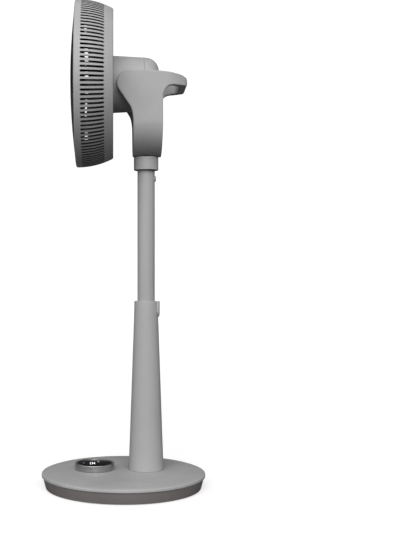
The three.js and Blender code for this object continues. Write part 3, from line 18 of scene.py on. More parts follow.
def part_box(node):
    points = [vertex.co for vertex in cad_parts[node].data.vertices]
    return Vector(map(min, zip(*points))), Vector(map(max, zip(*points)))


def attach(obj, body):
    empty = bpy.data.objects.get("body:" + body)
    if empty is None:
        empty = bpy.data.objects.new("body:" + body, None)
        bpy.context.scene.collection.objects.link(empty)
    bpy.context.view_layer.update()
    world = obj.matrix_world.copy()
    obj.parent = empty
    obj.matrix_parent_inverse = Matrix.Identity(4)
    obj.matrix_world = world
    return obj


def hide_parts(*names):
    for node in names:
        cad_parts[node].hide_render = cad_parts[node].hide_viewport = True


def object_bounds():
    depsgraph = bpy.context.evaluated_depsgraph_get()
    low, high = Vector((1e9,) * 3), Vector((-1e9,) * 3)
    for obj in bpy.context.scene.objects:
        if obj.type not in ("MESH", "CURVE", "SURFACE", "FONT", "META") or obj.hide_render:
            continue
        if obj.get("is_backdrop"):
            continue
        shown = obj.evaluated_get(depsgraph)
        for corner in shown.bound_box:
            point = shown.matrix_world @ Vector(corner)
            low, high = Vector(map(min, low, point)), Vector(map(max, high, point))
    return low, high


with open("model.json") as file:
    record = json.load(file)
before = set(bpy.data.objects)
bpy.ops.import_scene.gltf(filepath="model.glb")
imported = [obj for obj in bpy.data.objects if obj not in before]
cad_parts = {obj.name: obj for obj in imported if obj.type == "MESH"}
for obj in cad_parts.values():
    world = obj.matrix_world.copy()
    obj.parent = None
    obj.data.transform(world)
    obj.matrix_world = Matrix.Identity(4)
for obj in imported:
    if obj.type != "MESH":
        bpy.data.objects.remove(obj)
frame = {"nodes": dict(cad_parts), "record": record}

CAD_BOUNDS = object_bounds()
MM = 0.001

log = logging.getLogger("fan")

Point = tuple[float, float]
Ring = tuple[float, float, float]


class Axis(Enum):
    """The direction a turned piece's own axis points."""

    X = (0.0, math.pi / 2, 0.0)
    Y = (-math.pi / 2, 0.0, 0.0)
    Z = (0.0, 0.0, 0.0)


# ---- Shader maths ----------------------------------------------------------------------------


class Signal:
    """A shader socket that takes part in Python arithmetic."""

    def __init__(self, kit: "ShaderKit", socket: bpy.types.NodeSocket) -> None:
        """Wraps one output socket.

        Args:
            kit: The node tree's builder.
            socket: The output that carries the value.
        """
        self.kit = kit
        self.socket = socket

    def _math(self, operation: str, first: object, second: object = 0.0) -> "Signal":
        """Adds one Math node on two values."""
        return self.kit.math(operation, first, second)

    def __add__(self, other: object) -> "Signal":
        """Sum."""
        return self._math("ADD", self, other)

    def __radd__(self, other: object) -> "Signal":
        """Sum, reflected."""
        return self._math("ADD", other, self)

    def __sub__(self, other: object) -> "Signal":
        """Difference."""
        return self._math("SUBTRACT", self, other)

    def __rsub__(self, other: object) -> "Signal":
        """Difference, reflected."""
        return self._math("SUBTRACT", other, self)

    def __mul__(self, other: object) -> "Signal":
        """Product."""
        return self._math("MULTIPLY", self, other)

    def __rmul__(self, other: object) -> "Signal":
        """Product, reflected."""
        return self._math("MULTIPLY", other, self)

    def __truediv__(self, other: object) -> "Signal":
        """Quotient."""
        return self._math("DIVIDE", self, other)

    def __pow__(self, other: object) -> "Signal":
        """Power."""
        return self._math("POWER", self, other)

    def __gt__(self, other: object) -> "Signal":
        """One where the value is above the other."""
        return self._math("GREATER_THAN", self, other)


class ShaderKit:
    """Builds one material's nodes around its Principled shader."""

    def __init__(self, name: str) -> None:
        """Starts a material.

        Args:
            name: The material's name.
        """
        self.material = bpy.data.materials.new(name)
        self.material.use_nodes = True
        self.tree = self.material.node_tree
        self.shader = self.tree.nodes["Principled BSDF"]
        self.place = self.node("ShaderNodeTexCoord", {}, {}).outputs["Object"]

    def node(self, kind: str, settings: dict[str, object], inputs: dict[object, object]) -> bpy.types.Node:
        """Adds a node.

        Args:
            kind: The node's type.
            settings: Attributes that are set before its sockets.
            inputs: Values, links or signals by input name or index.

        Returns:
            The new node.
        """
        node = self.tree.nodes.new(kind)
        for key, value in settings.items():
            if key == "stops":
                self._set_stops(node, value)
            else:
                setattr(node, key, value)
        for key, value in inputs.items():
            self.feed(node.inputs[key], value)
        return node

    @staticmethod
    def _set_stops(node: bpy.types.Node, stops: Sequence[tuple[float, Sequence[float]]]) -> None:
        """Sets a colour ramp's stops."""
        ramp = node.color_ramp.elements
        while len(ramp) < len(stops):
            ramp.new(1.0)
        for element, (position, colour) in zip(ramp, stops):
            element.position = position
            element.color = (*colour, 1.0)

    def feed(self, socket: bpy.types.NodeSocket, value: object) -> None:
        """Sets or links one input socket."""
        if isinstance(value, Signal):
            value = value.socket
        if isinstance(value, bpy.types.NodeSocket):
            self.tree.links.new(value, socket)
        else:
            socket.default_value = value

    def math(self, operation: str, first: object, second: object = 0.0) -> Signal:
        """A Math node's result on two values."""
        made = self.node("ShaderNodeMath", {"operation": operation}, {0: first, 1: second})
        return Signal(self, made.outputs[0])

    def stretch(self, scale: Sequence[float], shift: Sequence[float] = (0, 0, 0)) -> bpy.types.NodeSocket:
        """The object's place, scaled and shifted along each axis."""
        inputs = {"Vector": self.place, "Scale": tuple(scale), "Location": tuple(shift)}
        return self.node("ShaderNodeMapping", {}, inputs).outputs[0]

    def noise(self, scale: float, detail: float = 2.0, vector: object = None, rough: float = 0.5) -> Signal:
        """Smooth noise between 0 and 1.

        Args:
            scale: Features per metre.
            detail: Octaves.
            vector: Where it is read, the object's place if left out.
            rough: How much each octave keeps.

        Returns:
            The noise value.
        """
        inputs = {"Vector": self.place if vector is None else vector, "Scale": scale}
        inputs |= {"Detail": detail, "Roughness": rough}
        return Signal(self, self.node("ShaderNodeTexNoise", {}, inputs).outputs[0])

    def ramp(self, value: Signal, low: float, high: float, start: float, end: float) -> Signal:
        """Maps a range of values to another, held at its ends."""
        inputs = {"Value": value, "From Min": low, "From Max": high, "To Min": start, "To Max": end}
        return Signal(self, self.node("ShaderNodeMapRange", {}, inputs).outputs[0])

    def axes(self, vector: object = None) -> tuple[Signal, Signal, Signal]:
        """The place's three coordinates."""
        source = self.place if vector is None else vector
        split = self.node("ShaderNodeSeparateXYZ", {}, {0: source})
        return tuple(Signal(self, output) for output in split.outputs)

    def join(self, x: object, y: object, z: object) -> bpy.types.NodeSocket:
        """A vector of three values."""
        return self.node("ShaderNodeCombineXYZ", {}, {0: x, 1: y, 2: z}).outputs[0]

    def blend(self, factor: object, first: object, second: object) -> bpy.types.NodeSocket:
        """A colour between two colours.

        Args:
            factor: How much of the second colour shows.
            first: The first colour.
            second: The second colour.

        Returns:
            The mixed colour's socket.
        """
        mix = self.node("ShaderNodeMix", {"data_type": "RGBA"}, {0: factor})
        for slot, colour in ((6, first), (7, second)):
            self.feed(mix.inputs[slot], (*colour, 1.0) if isinstance(colour, tuple) else colour)
        return mix.outputs[2]

    def bump(self, height: Signal, distance: float, strength: float = 1.0, under: object = None) -> bpy.types.NodeSocket:
        """A normal from a height in units of distance."""
        inputs = {"Height": height, "Distance": distance, "Strength": strength}
        if under is not None:
            inputs["Normal"] = under
        return self.node("ShaderNodeBump", {}, inputs).outputs[0]

    def up(self) -> Signal:
        """How much a surface faces upwards, from 0 to 1."""
        normal = self.node("ShaderNodeNewGeometry", {}, {}).outputs["Normal"]
        return self.ramp(self.axes(normal)[2], 0.3, 1.0, 0.0, 1.0)

    def finish(self, values: dict[str, object]) -> bpy.types.Material:
        """Feeds the shader and returns the material."""
        for key, value in values.items():
            self.feed(self.shader.inputs[key], value)
        return self.material


def grey(level: float) -> tuple[float, float, float]:
    """A neutral linear colour."""
    return (level, level, level)


# ---- Finishes --------------------------------------------------------------------------------


@dataclass(frozen=True)
class MouldedPlastic:
    """Satin moulded plastic with a fine spark-eroded grain, faint smudges and settled dust."""

    name: str
    colour: tuple[float, float, float]
    roughness: float = 0.5
    grain: float = 0.05 * MM
    grain_scale: float = 1600.0
    dust: float = 0.06
    coat: float = 0.0

    def make(self) -> bpy.types.Material:
        """Builds the material."""
        kit = ShaderKit(self.name)
        cloud = kit.noise(14.0, 4.0)
        smudge = kit.ramp(kit.noise(55.0, 5.0, rough=0.65), 0.42, 0.72, 0.0, 1.0)
        speck = kit.noise(self.grain_scale, 2.0)
        darker = tuple(c * 0.93 for c in self.colour)
        lighter = tuple(min(c * 1.05 + 0.004, 1.0) for c in self.colour)
        shade = kit.blend(kit.ramp(cloud, 0.3, 0.7, 0.0, 1.0), darker, lighter)
        settled = kit.up() * kit.ramp(kit.noise(230.0, 4.0), 0.45, 0.75, 0.2, 1.0) * self.dust
        dusty = kit.blend(settled, shade, (0.62, 0.6, 0.57))
        rough = smudge * -0.09 + (cloud * 0.06 + (self.roughness + 0.02)) + settled * 0.5
        height = speck + kit.noise(self.grain_scale * 0.37, 2.0) * 0.6
        values = {"Base Color": dusty, "Roughness": rough, "Normal": kit.bump(height, self.grain, 0.6)}
        values |= {"Coat Weight": self.coat, "Coat Roughness": 0.25, "IOR": 1.47}
        return kit.finish(values)


@dataclass(frozen=True)
class PaintedMetal:
    """Satin powder coat with a slight orange-peel and long rub marks where pieces slide."""

    name: str
    colour: tuple[float, float, float]
    roughness: float = 0.38

    def make(self) -> bpy.types.Material:
        """Builds the material."""
        kit = ShaderKit(self.name)
        peel = kit.noise(420.0, 2.0)
        cloud = kit.noise(10.0, 3.0)
        streak = kit.noise(160.0, 3.0, kit.stretch((1.0, 1.0, 0.02)), 0.6)
        rub = kit.ramp(streak, 0.56, 0.7, 0.0, 1.0)
        darker = tuple(c * 0.94 for c in self.colour)
        shade = kit.blend(kit.ramp(cloud, 0.3, 0.7, 0.0, 1.0), darker, self.colour)
        worn = kit.blend(rub * 0.14, shade, tuple(min(c * 1.3, 1.0) for c in self.colour))
        rough = peel * 0.06 + (self.roughness - 0.03) + rub * -0.08
        values = {"Base Color": worn, "Roughness": rough, "Metallic": 0.0}
        values |= {"Normal": kit.bump(peel + streak * 0.15, 0.06 * MM, 0.5)}
        return kit.finish(values | {"IOR": 1.4})


@dataclass(frozen=True)
class BrushedRing:
    """Metal turned and brushed round a vertical axis."""

    name: str
    centre: tuple[float, float]
    colour: tuple[float, float, float] = (0.44, 0.44, 0.44)

    def make(self) -> bpy.types.Material:
        """Builds the material."""
        kit = ShaderKit(self.name)
        x, y, z = kit.axes(kit.stretch((1, 1, 1), (-self.centre[0], -self.centre[1], 0)))
        radius = (x * x + y * y) ** 0.5
        angle = kit.math("ARCTAN2", y, x)
        turned = kit.join(radius * 2600.0, z * 2600.0, angle * 1.3)
        scratch = kit.noise(1.0, 3.0, turned, 0.7)
        fine = kit.noise(1.0, 2.0, kit.join(radius * 7000.0, z * 7000.0, angle * 4.0), 0.6)
        smudge = kit.ramp(kit.noise(90.0, 4.0), 0.45, 0.7, 0.0, 1.0)
        lines = kit.ramp(scratch * 0.7 + fine * 0.3, 0.25, 0.75, 0.0, 1.0)
        dark = tuple(c * 0.66 for c in self.colour)
        bright = tuple(min(c * 1.3, 1.0) for c in self.colour)
        values = {"Base Color": kit.blend(lines, dark, bright), "Metallic": 1.0}
        values |= {"Roughness": lines * -0.12 + 0.4 + smudge * 0.08}
        values |= {"Normal": kit.bump(scratch + fine * 0.5, 0.03 * MM, 0.8), "Anisotropic": 0.6}
        return kit.finish(values)


@dataclass(frozen=True)
class BareSteel:
    """Drawn or machined steel with fine lines, oily stains and a little tarnish."""

    name: str
    colour: tuple[float, float, float] = (0.5, 0.5, 0.51)
    roughness: float = 0.34
    lines: tuple[float, float, float] = (900.0, 900.0, 60.0)

    def make(self) -> bpy.types.Material:
        """Builds the material."""
        kit = ShaderKit(self.name)
        drawn = kit.noise(1.0, 3.0, kit.stretch(self.lines), 0.6)
        stain = kit.ramp(kit.noise(60.0, 5.0, rough=0.6), 0.5, 0.7, 0.0, 1.0)
        tarnished = tuple(c * f for c, f in zip(self.colour, (0.72, 0.64, 0.55)))
        shade = kit.blend(stain * 0.45, self.colour, tarnished)
        values = {"Base Color": shade, "Metallic": 1.0, "Roughness": drawn * 0.16 + self.roughness + stain * 0.15}
        values |= {"Normal": kit.bump(drawn, 0.03 * MM, 0.7)}
        return kit.finish(values)


@dataclass(frozen=True)
class RoughCasting:
    """Cast iron as it leaves the sand, with pits and rust in the hollows."""

    name: str

    def make(self) -> bpy.types.Material:
        """Builds the material."""
        kit = ShaderKit(self.name)
        sand = kit.noise(700.0, 5.0, rough=0.7)
        pits = kit.ramp(kit.noise(260.0, 2.0), 0.62, 0.72, 0.0, 1.0)
        rust = kit.ramp(kit.noise(45.0, 6.0, rough=0.7), 0.55, 0.68, 0.0, 1.0)
        shade = kit.blend(rust * 0.7, (0.075, 0.078, 0.082), (0.2, 0.075, 0.03))
        values = {"Base Color": shade, "Metallic": 1.0 - rust * 0.8, "Roughness": sand * 0.25 + 0.55}
        values |= {"Normal": kit.bump(sand - pits, 0.3 * MM, 0.8)}
        return kit.finish(values)


@dataclass(frozen=True)
class SoftRubber:
    """Matt rubber with bloom and fine grit pressed into it."""

    name: str

    def make(self) -> bpy.types.Material:
        """Builds the material."""
        kit = ShaderKit(self.name)
        grit = kit.noise(1200.0, 3.0)
        bloom = kit.ramp(kit.noise(120.0, 4.0), 0.45, 0.7, 0.0, 1.0)
        shade = kit.blend(bloom * 0.5, (0.012, 0.012, 0.012), (0.05, 0.048, 0.045))
        values = {"Base Color": shade, "Roughness": grit * 0.15 + 0.75}
        values |= {"Normal": kit.bump(grit, 0.08 * MM, 0.7)}
        return kit.finish(values)


@dataclass(frozen=True)
class BlackGlass:
    """Gloss black glass with faint wiping marks."""

    name: str

    def make(self) -> bpy.types.Material:
        """Builds the material."""
        kit = ShaderKit(self.name)
        wipe = kit.noise(1.0, 4.0, kit.stretch((60.0, 420.0, 60.0)), 0.6)
        print_mark = kit.ramp(kit.noise(130.0, 3.0), 0.55, 0.7, 0.0, 1.0)
        shade = kit.blend(print_mark * 0.3, (0.002, 0.002, 0.0025), (0.006, 0.006, 0.0065))
        values = {"Base Color": shade, "Roughness": wipe * 0.06 + 0.03 + print_mark * 0.08}
        values |= {"IOR": 1.1}
        return kit.finish(values)


@dataclass(frozen=True)
class Windings:
    """Enamelled copper wire wound in layers round a laminated core."""

    name: str

    def make(self) -> bpy.types.Material:
        """Builds the material."""
        kit = ShaderKit(self.name)
        x, y, z = kit.axes()
        strand = kit.math("SINE", x * 9000.0 + kit.noise(90.0) * 3.0)
        layer = kit.ramp(strand, -1.0, 1.0, 0.0, 1.0)
        shade = kit.blend(layer, (0.16, 0.05, 0.015), (0.52, 0.21, 0.07))
        values = {"Base Color": shade, "Metallic": 0.85, "Roughness": layer * -0.15 + 0.42}
        values |= {"Normal": kit.bump(layer, 0.12 * MM, 0.9)}
        return kit.finish(values)


@dataclass(frozen=True)
class CircuitBoard:
    """Green solder mask with copper tracks and tinned pads."""

    name: str

    def make(self) -> bpy.types.Material:
        """Builds the material."""
        kit = ShaderKit(self.name)
        cells = kit.node("ShaderNodeTexVoronoi", {"distance": "CHEBYCHEV"}, {"Vector": kit.place, "Scale": 190.0})
        pads = kit.ramp(Signal(kit, cells.outputs[0]), 0.12, 0.16, 1.0, 0.0)
        tracks = kit.ramp(kit.noise(150.0, 0.0), 0.49, 0.51, 0.0, 1.0)
        mask = kit.blend(tracks, (0.006, 0.055, 0.02), (0.012, 0.1, 0.04))
        values = {"Base Color": kit.blend(pads, mask, (0.6, 0.58, 0.5)), "Metallic": pads * 1.0}
        values |= {"Roughness": tracks * -0.05 + 0.35, "Normal": kit.bump(tracks + pads, 0.05 * MM, 0.8)}
        return kit.finish(values)


@dataclass(frozen=True)
class DisplayLight:
    """The lit segments behind the display's glass."""

    name: str

    def make(self) -> bpy.types.Material:
        """Builds the material."""
        kit = ShaderKit(self.name)
        glow = kit.ramp(kit.noise(500.0, 1.0), 0.3, 0.7, 0.85, 1.0)
        tint = kit.blend(glow, (0.7, 0.72, 0.75), (0.95, 0.97, 1.0))
        values = {"Base Color": tint, "Emission Color": tint, "Emission Strength": 0.9}
        return kit.finish(values | {"Roughness": glow * 0.1 + 0.4})


class Palette:
    """Every finish of the fan, made once."""

    def __init__(self, dial_centre: tuple[float, float]) -> None:
        """Makes the materials.

        Args:
            dial_centre: The dial's axis in X and Y.
        """
        body = grey(0.335)
        self.body = MouldedPlastic("body_plastic", body).make()
        self.skirt = MouldedPlastic("skirt_plastic", (0.158, 0.146, 0.142), 0.56).make()
        self.dark = MouldedPlastic("black_plastic", grey(0.022), 0.5, dust=0.02).make()
        self.blade = MouldedPlastic("blade_plastic", grey(0.03), 0.36, dust=0.03, coat=0.2).make()
        self.white = MouldedPlastic("bearing_plastic", (0.72, 0.72, 0.7), 0.42, dust=0.02).make()
        self.tube = PaintedMetal("tube_paint", body, 0.5).make()
        self.column = PaintedMetal("column_paint", body, 0.52).make()
        self.ring = BrushedRing("brushed_ring", dial_centre).make()
        self.steel = BareSteel("bare_steel").make()
        self.casting = RoughCasting("rough_casting").make()
        self.rubber = SoftRubber("soft_rubber").make()
        self.glass = BlackGlass("black_glass").make()
        self.copper = Windings("windings").make()
        self.board = CircuitBoard("circuit_board").make()
        self.light = DisplayLight("display_light").make()

    def dress(self, piece: bpy.types.Object, material: bpy.types.Material) -> None:
        """Gives a piece one material all over."""
        piece.data.materials.clear()
        piece.data.materials.append(material)


# ---- Modelling by operators ------------------------------------------------------------------


def arc(centre: Point, radius: float, start: float, end: float, steps: int) -> list[Point]:
    """Points along an arc, both ends included, with angles in degrees."""
    angles = [math.radians(start + (end - start) * i / steps) for i in range(steps + 1)]
    return [(centre[0] + radius * math.cos(a), centre[1] + radius * math.sin(a)) for a in angles]


def curve(start: Point, bend: Point, end: Point, steps: int) -> list[Point]:
    """Points along a quadratic curve after its start, its end included."""
    points = []
    for i in range(1, steps + 1):
        t = i / steps
        weights = ((1 - t) ** 2, 2 * t * (1 - t), t * t)
        points.append(tuple(sum(w * p[k] for w, p in zip(weights, (start, bend, end))) for k in (0, 1)))
    return points


def softened(corners: Sequence[Ring], steps: int = 4, closed: bool = False) -> list[Point]:
    """Rounds an outline's corners.

    Args:
        corners: Each corner as its two coordinates and the radius that rounds it.
        steps: How many pieces each rounding has.
        closed: Whether the last corner joins the first.

    Returns:
        The outline's points.
    """
    points: list[Point] = []
    count = len(corners)
    for i, (a, b, radius) in enumerate(corners):
        here = Vector((a, b))
        if radius <= 0 or (not closed and i in (0, count - 1)):
            points.append((a, b))
            continue
        before = Vector(corners[i - 1][:2]) - here
        after = Vector(corners[(i + 1) % count][:2]) - here
        half = before.angle(after) / 2
        reach = min(radius / math.tan(half), before.length * 0.49, after.length * 0.49)
        first = here + before.normalized() * reach
        last = here + after.normalized() * reach
        points.append(tuple(first))
        points.extend(curve(tuple(first), (a, b), tuple(last), steps))
    return points


class Bench:
    """Models pieces with Blender's operators, as by hand."""

    def start(self) -> None:
        """Leaves edit mode and deselects everything."""
        if bpy.context.object is not None and bpy.context.object.mode != "OBJECT":
            bpy.ops.object.mode_set(mode="OBJECT")
        bpy.ops.object.select_all(action="DESELECT")

    def pick(self, piece: bpy.types.Object) -> None:
        """Makes a piece the only selected one."""
        self.start()
        piece.select_set(True)
        bpy.context.view_layer.objects.active = piece

    def edit(self, piece: bpy.types.Object) -> None:
        """Opens a piece in edit mode."""
        self.pick(piece)
        bpy.ops.object.mode_set(mode="EDIT")

    def choose(self, piece: bpy.types.Object, kind: str, test: Callable[[object], bool]) -> int:
        """Selects a mesh's elements in edit mode by a test.

        Args:
            piece: The piece in edit mode.
            kind: VERT, EDGE or FACE.
            test: Takes an element and says whether it is selected.

        Returns:
            How many are selected.
        """
        bpy.ops.mesh.select_all(action="DESELECT")
        bpy.ops.mesh.select_mode(type=kind)
        mesh = bmesh.from_edit_mesh(piece.data)
        elements = {"VERT": mesh.verts, "EDGE": mesh.edges, "FACE": mesh.faces}[kind]
        found = [element for element in elements if test(element)]
        for element in found:
            element.select_set(True)
        mesh.select_flush_mode()
        bmesh.update_edit_mesh(piece.data)
        return len(found)

    def close(self, piece: bpy.types.Object, name: str, merge: float = 1e-6) -> bpy.types.Object:
        """Merges doubles, turns faces outwards, leaves edit mode and applies the place."""
        if piece.mode != "EDIT":
            self.edit(piece)
        bpy.ops.mesh.select_all(action="SELECT")
        bpy.ops.mesh.remove_doubles(threshold=merge)
        bpy.ops.mesh.normals_make_consistent(inside=False)
        bpy.ops.object.mode_set(mode="OBJECT")
        piece.name = name
        piece.data.name = name
        self.settle(piece)
        return piece

    def settle(self, piece: bpy.types.Object) -> None:
        """Applies a piece's place, turn and scale to its mesh."""
        self.pick(piece)
        bpy.ops.object.transform_apply(location=True, rotation=True, scale=True)

    def smooth(self, piece: bpy.types.Object, angle: float = 35.0) -> bpy.types.Object:
        """Shades a piece smooth except across sharper edges."""
        self.pick(piece)
        bpy.ops.object.shade_smooth_by_angle(angle=math.radians(angle))
        return piece

    def modify(self, piece: bpy.types.Object, kind: str, settings: dict[str, object]) -> None:
        """Adds a modifier and applies it."""
        self.pick(piece)
        modifier = piece.modifiers.new(kind.lower(), kind)
        for key, value in settings.items():
            setattr(modifier, key, value)
        bpy.ops.object.modifier_apply(modifier=modifier.name)

    def combine(self, piece: bpy.types.Object, other: bpy.types.Object, operation: str) -> None:
        """Joins, cuts or intersects a piece with another, which is used up."""
        self.modify(piece, "BOOLEAN", {"operation": operation, "object": other, "solver": "EXACT"})
        bpy.data.objects.remove(other, do_unlink=True)

    def copy(self, piece: bpy.types.Object, name: str, turn: Matrix | None = None) -> bpy.types.Object:
        """A copy with its own mesh, turned in the row's frame."""
        other = piece.copy()
        other.data = piece.data.copy()
        other.name = name
        other.data.name = name
        bpy.context.scene.collection.objects.link(other)
        if turn is not None:
            other.data.transform(turn)
        return other

    def merge_all(self, pieces: Sequence[bpy.types.Object], name: str) -> bpy.types.Object:
        """Makes several meshes one object."""
        self.pick(pieces[0])
        for other in pieces[1:]:
            other.select_set(True)
        bpy.ops.object.join()
        pieces[0].name = name
        pieces[0].data.name = name
        return pieces[0]

    def turned(
        self,
        name: str,
        profile: Sequence[Point],
        facets: int = 96,
        axis: Axis = Axis.Z,
        centre: Sequence[float] = (0, 0, 0),
    ) -> bpy.types.Object:
        """Turns a profile round an axis, ring by ring.

        Args:
            name: The piece's name.
            profile: Radius and height of each ring. It starts and ends on the axis, or closes.
            facets: Facets round the turn.
            axis: Where the piece's own axis points.
            centre: A point on the axis, from which heights count.

        Returns:
            The piece.
        """
        rings = list(profile)
        on_axis = rings[0][0] < 1e-9
        if not on_axis:
            rings.append(rings[0])
        first = rings[1] if on_axis else rings[0]
        self.start()
        bpy.ops.mesh.primitive_circle_add(vertices=facets, radius=first[0], fill_type="NOTHING")
        piece = bpy.context.object
        self.edit(piece)
        bpy.ops.mesh.select_all(action="SELECT")
        bpy.ops.transform.translate(value=(0, 0, first[1]))
        if on_axis:
            self._cap(first, rings[0])
        radius, height = first
        for next_radius, next_height in rings[2 if on_axis else 1:]:
            if next_radius < 1e-9:
                self._cap((radius, height), (0.0, next_height))
                break
            step = {"value": (0, 0, next_height - height)}
            bpy.ops.mesh.extrude_edges_move(TRANSFORM_OT_translate=step)
            grow = next_radius / radius
            bpy.ops.transform.resize(value=(grow, grow, 1), center_override=(0, 0, next_height))
            radius, height = next_radius, next_height
        self.close(piece, name)
        piece.rotation_euler = axis.value
        piece.location = centre
        self.settle(piece)
        return self.smooth(piece)

    def _cap(self, ring: Point, pole: Point) -> None:
        """Closes the selected ring onto its pole and selects the ring again."""
        step = {"value": (0, 0, pole[1] - ring[1])}
        bpy.ops.mesh.extrude_edges_move(TRANSFORM_OT_translate=step)
        bpy.ops.mesh.merge(type="CENTER")
        piece = bpy.context.object
        ring_at = lambda v: abs(v.co.z - ring[1]) < 1e-7 and abs(v.co.xy.length - ring[0]) < 1e-6
        self.choose(piece, "VERT", ring_at)

    def outlined(self, name: str, outline: Sequence[Point]) -> bpy.types.Object:
        """Draws a closed outline in X and Y as one face, left in edit mode and selected.

        Args:
            name: The piece's name.
            outline: The outline's points in order.

        Returns:
            The piece.
        """
        piece = self.traced(name, [(x, y, 0.0) for x, y in outline])
        bpy.ops.mesh.select_all(action="SELECT")
        bpy.ops.mesh.edge_face_add()
        return piece

    def traced(self, name: str, path: Sequence[Sequence[float]]) -> bpy.types.Object:
        """Draws a line of vertices by extruding one of them, left in edit mode."""
        self.start()
        bpy.ops.mesh.primitive_plane_add(size=1.0)
        piece = bpy.context.object
        piece.name = name
        self.edit(piece)
        self.choose(piece, "VERT", lambda v: v.index > 0)
        bpy.ops.mesh.delete(type="VERT")
        self.choose(piece, "VERT", lambda v: True)
        first = bmesh.from_edit_mesh(piece.data).verts[:][0].co
        bpy.ops.transform.translate(value=Vector(path[0]) - first)
        for here, there in zip(path, path[1:]):
            step = {"value": Vector(there) - Vector(here)}
            bpy.ops.mesh.extrude_vertices_move(TRANSFORM_OT_translate=step)
        return piece

    def slab(self, name: str, outline: Sequence[Point], depth: float, turn: Matrix) -> bpy.types.Object:
        """A flat outline made thick both ways from its plane, then turned into place."""
        piece = self.outlined(name, outline)
        bpy.ops.transform.translate(value=(0, 0, -depth / 2))
        bpy.ops.mesh.extrude_region_move(TRANSFORM_OT_translate={"value": (0, 0, depth)})
        self.close(piece, name)
        piece.data.transform(turn)
        return piece

    def ring_of(self, piece: bpy.types.Object, count: int, centre: Sequence[float], axis: Sequence[float]) -> None:
        """Repeats a piece's whole mesh round an axis, in place."""
        self.edit(piece)
        bpy.ops.mesh.select_all(action="SELECT")
        bpy.ops.mesh.spin(steps=count, dupli=True, angle=2 * math.pi, center=centre, axis=axis)
        bpy.ops.mesh.select_all(action="SELECT")
        bpy.ops.mesh.remove_doubles(threshold=2e-6)
        bpy.ops.object.mode_set(mode="OBJECT")


bench = Bench()


def stand_for(piece: bpy.types.Object, body: str, slot: str, *nodes: str) -> bpy.types.Object:
    """Rides a new piece on a body in place of CAD nodes, which it hides."""
    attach(piece, body)
    if nodes:
        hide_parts(*nodes)
    log.info("%s: %d faces", piece.name, len(piece.data.polygons))
    return piece


def mm(points: Iterable[Sequence[float]]) -> list[tuple[float, ...]]:
    """Millimetres as metres, for outlines."""
    return [tuple(value * MM for value in point) for point in points]


def middle(node: str) -> Vector:
    """The middle of a CAD node's box."""
    low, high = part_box(node)
    return (low + high) / 2


def side_view(x: float, z: float) -> Matrix:
    """Turns an outline drawn in X and Z into place, made thick along Y."""
    return Matrix(((1, 0, 0, x), (0, 0, -1, 0), (0, 1, 0, z), (0, 0, 0, 1)))


def front_view(x: float, z: float) -> Matrix:
    """Turns an outline drawn in Y and Z into place, made thick along X."""
    return Matrix(((0, 0, 1, x), (1, 0, 0, 0), (0, 1, 0, z), (0, 0, 0, 1)))


def turn_about(centre: Sequence[float], angle: float, axis: str = "Z") -> Matrix:
    """A turn by an angle in radians about a line through a point."""
    here = Matrix.Translation(Vector(centre))
    return here @ Matrix.Rotation(angle, 4, axis) @ here.inverted()


def box_piece(name: str, low: Sequence[float], high: Sequence[float], edge: float) -> bpy.types.Object:
    """A block with rounded edges between two corners."""
    bench.start()
    size = [b - a for a, b in zip(low, high)]
    bpy.ops.mesh.primitive_cube_add(size=1.0, location=[(a + b) / 2 for a, b in zip(low, high)])
    piece = bpy.context.object
    piece.scale = size
    bench.settle(piece)
    if edge > 0:
        bench.edit(piece)
        bpy.ops.mesh.select_all(action="SELECT")
        bpy.ops.mesh.bevel(offset=edge, segments=2, affect="EDGES")
    return bench.close(piece, name)


# ---- Base ------------------------------------------------------------------------------------


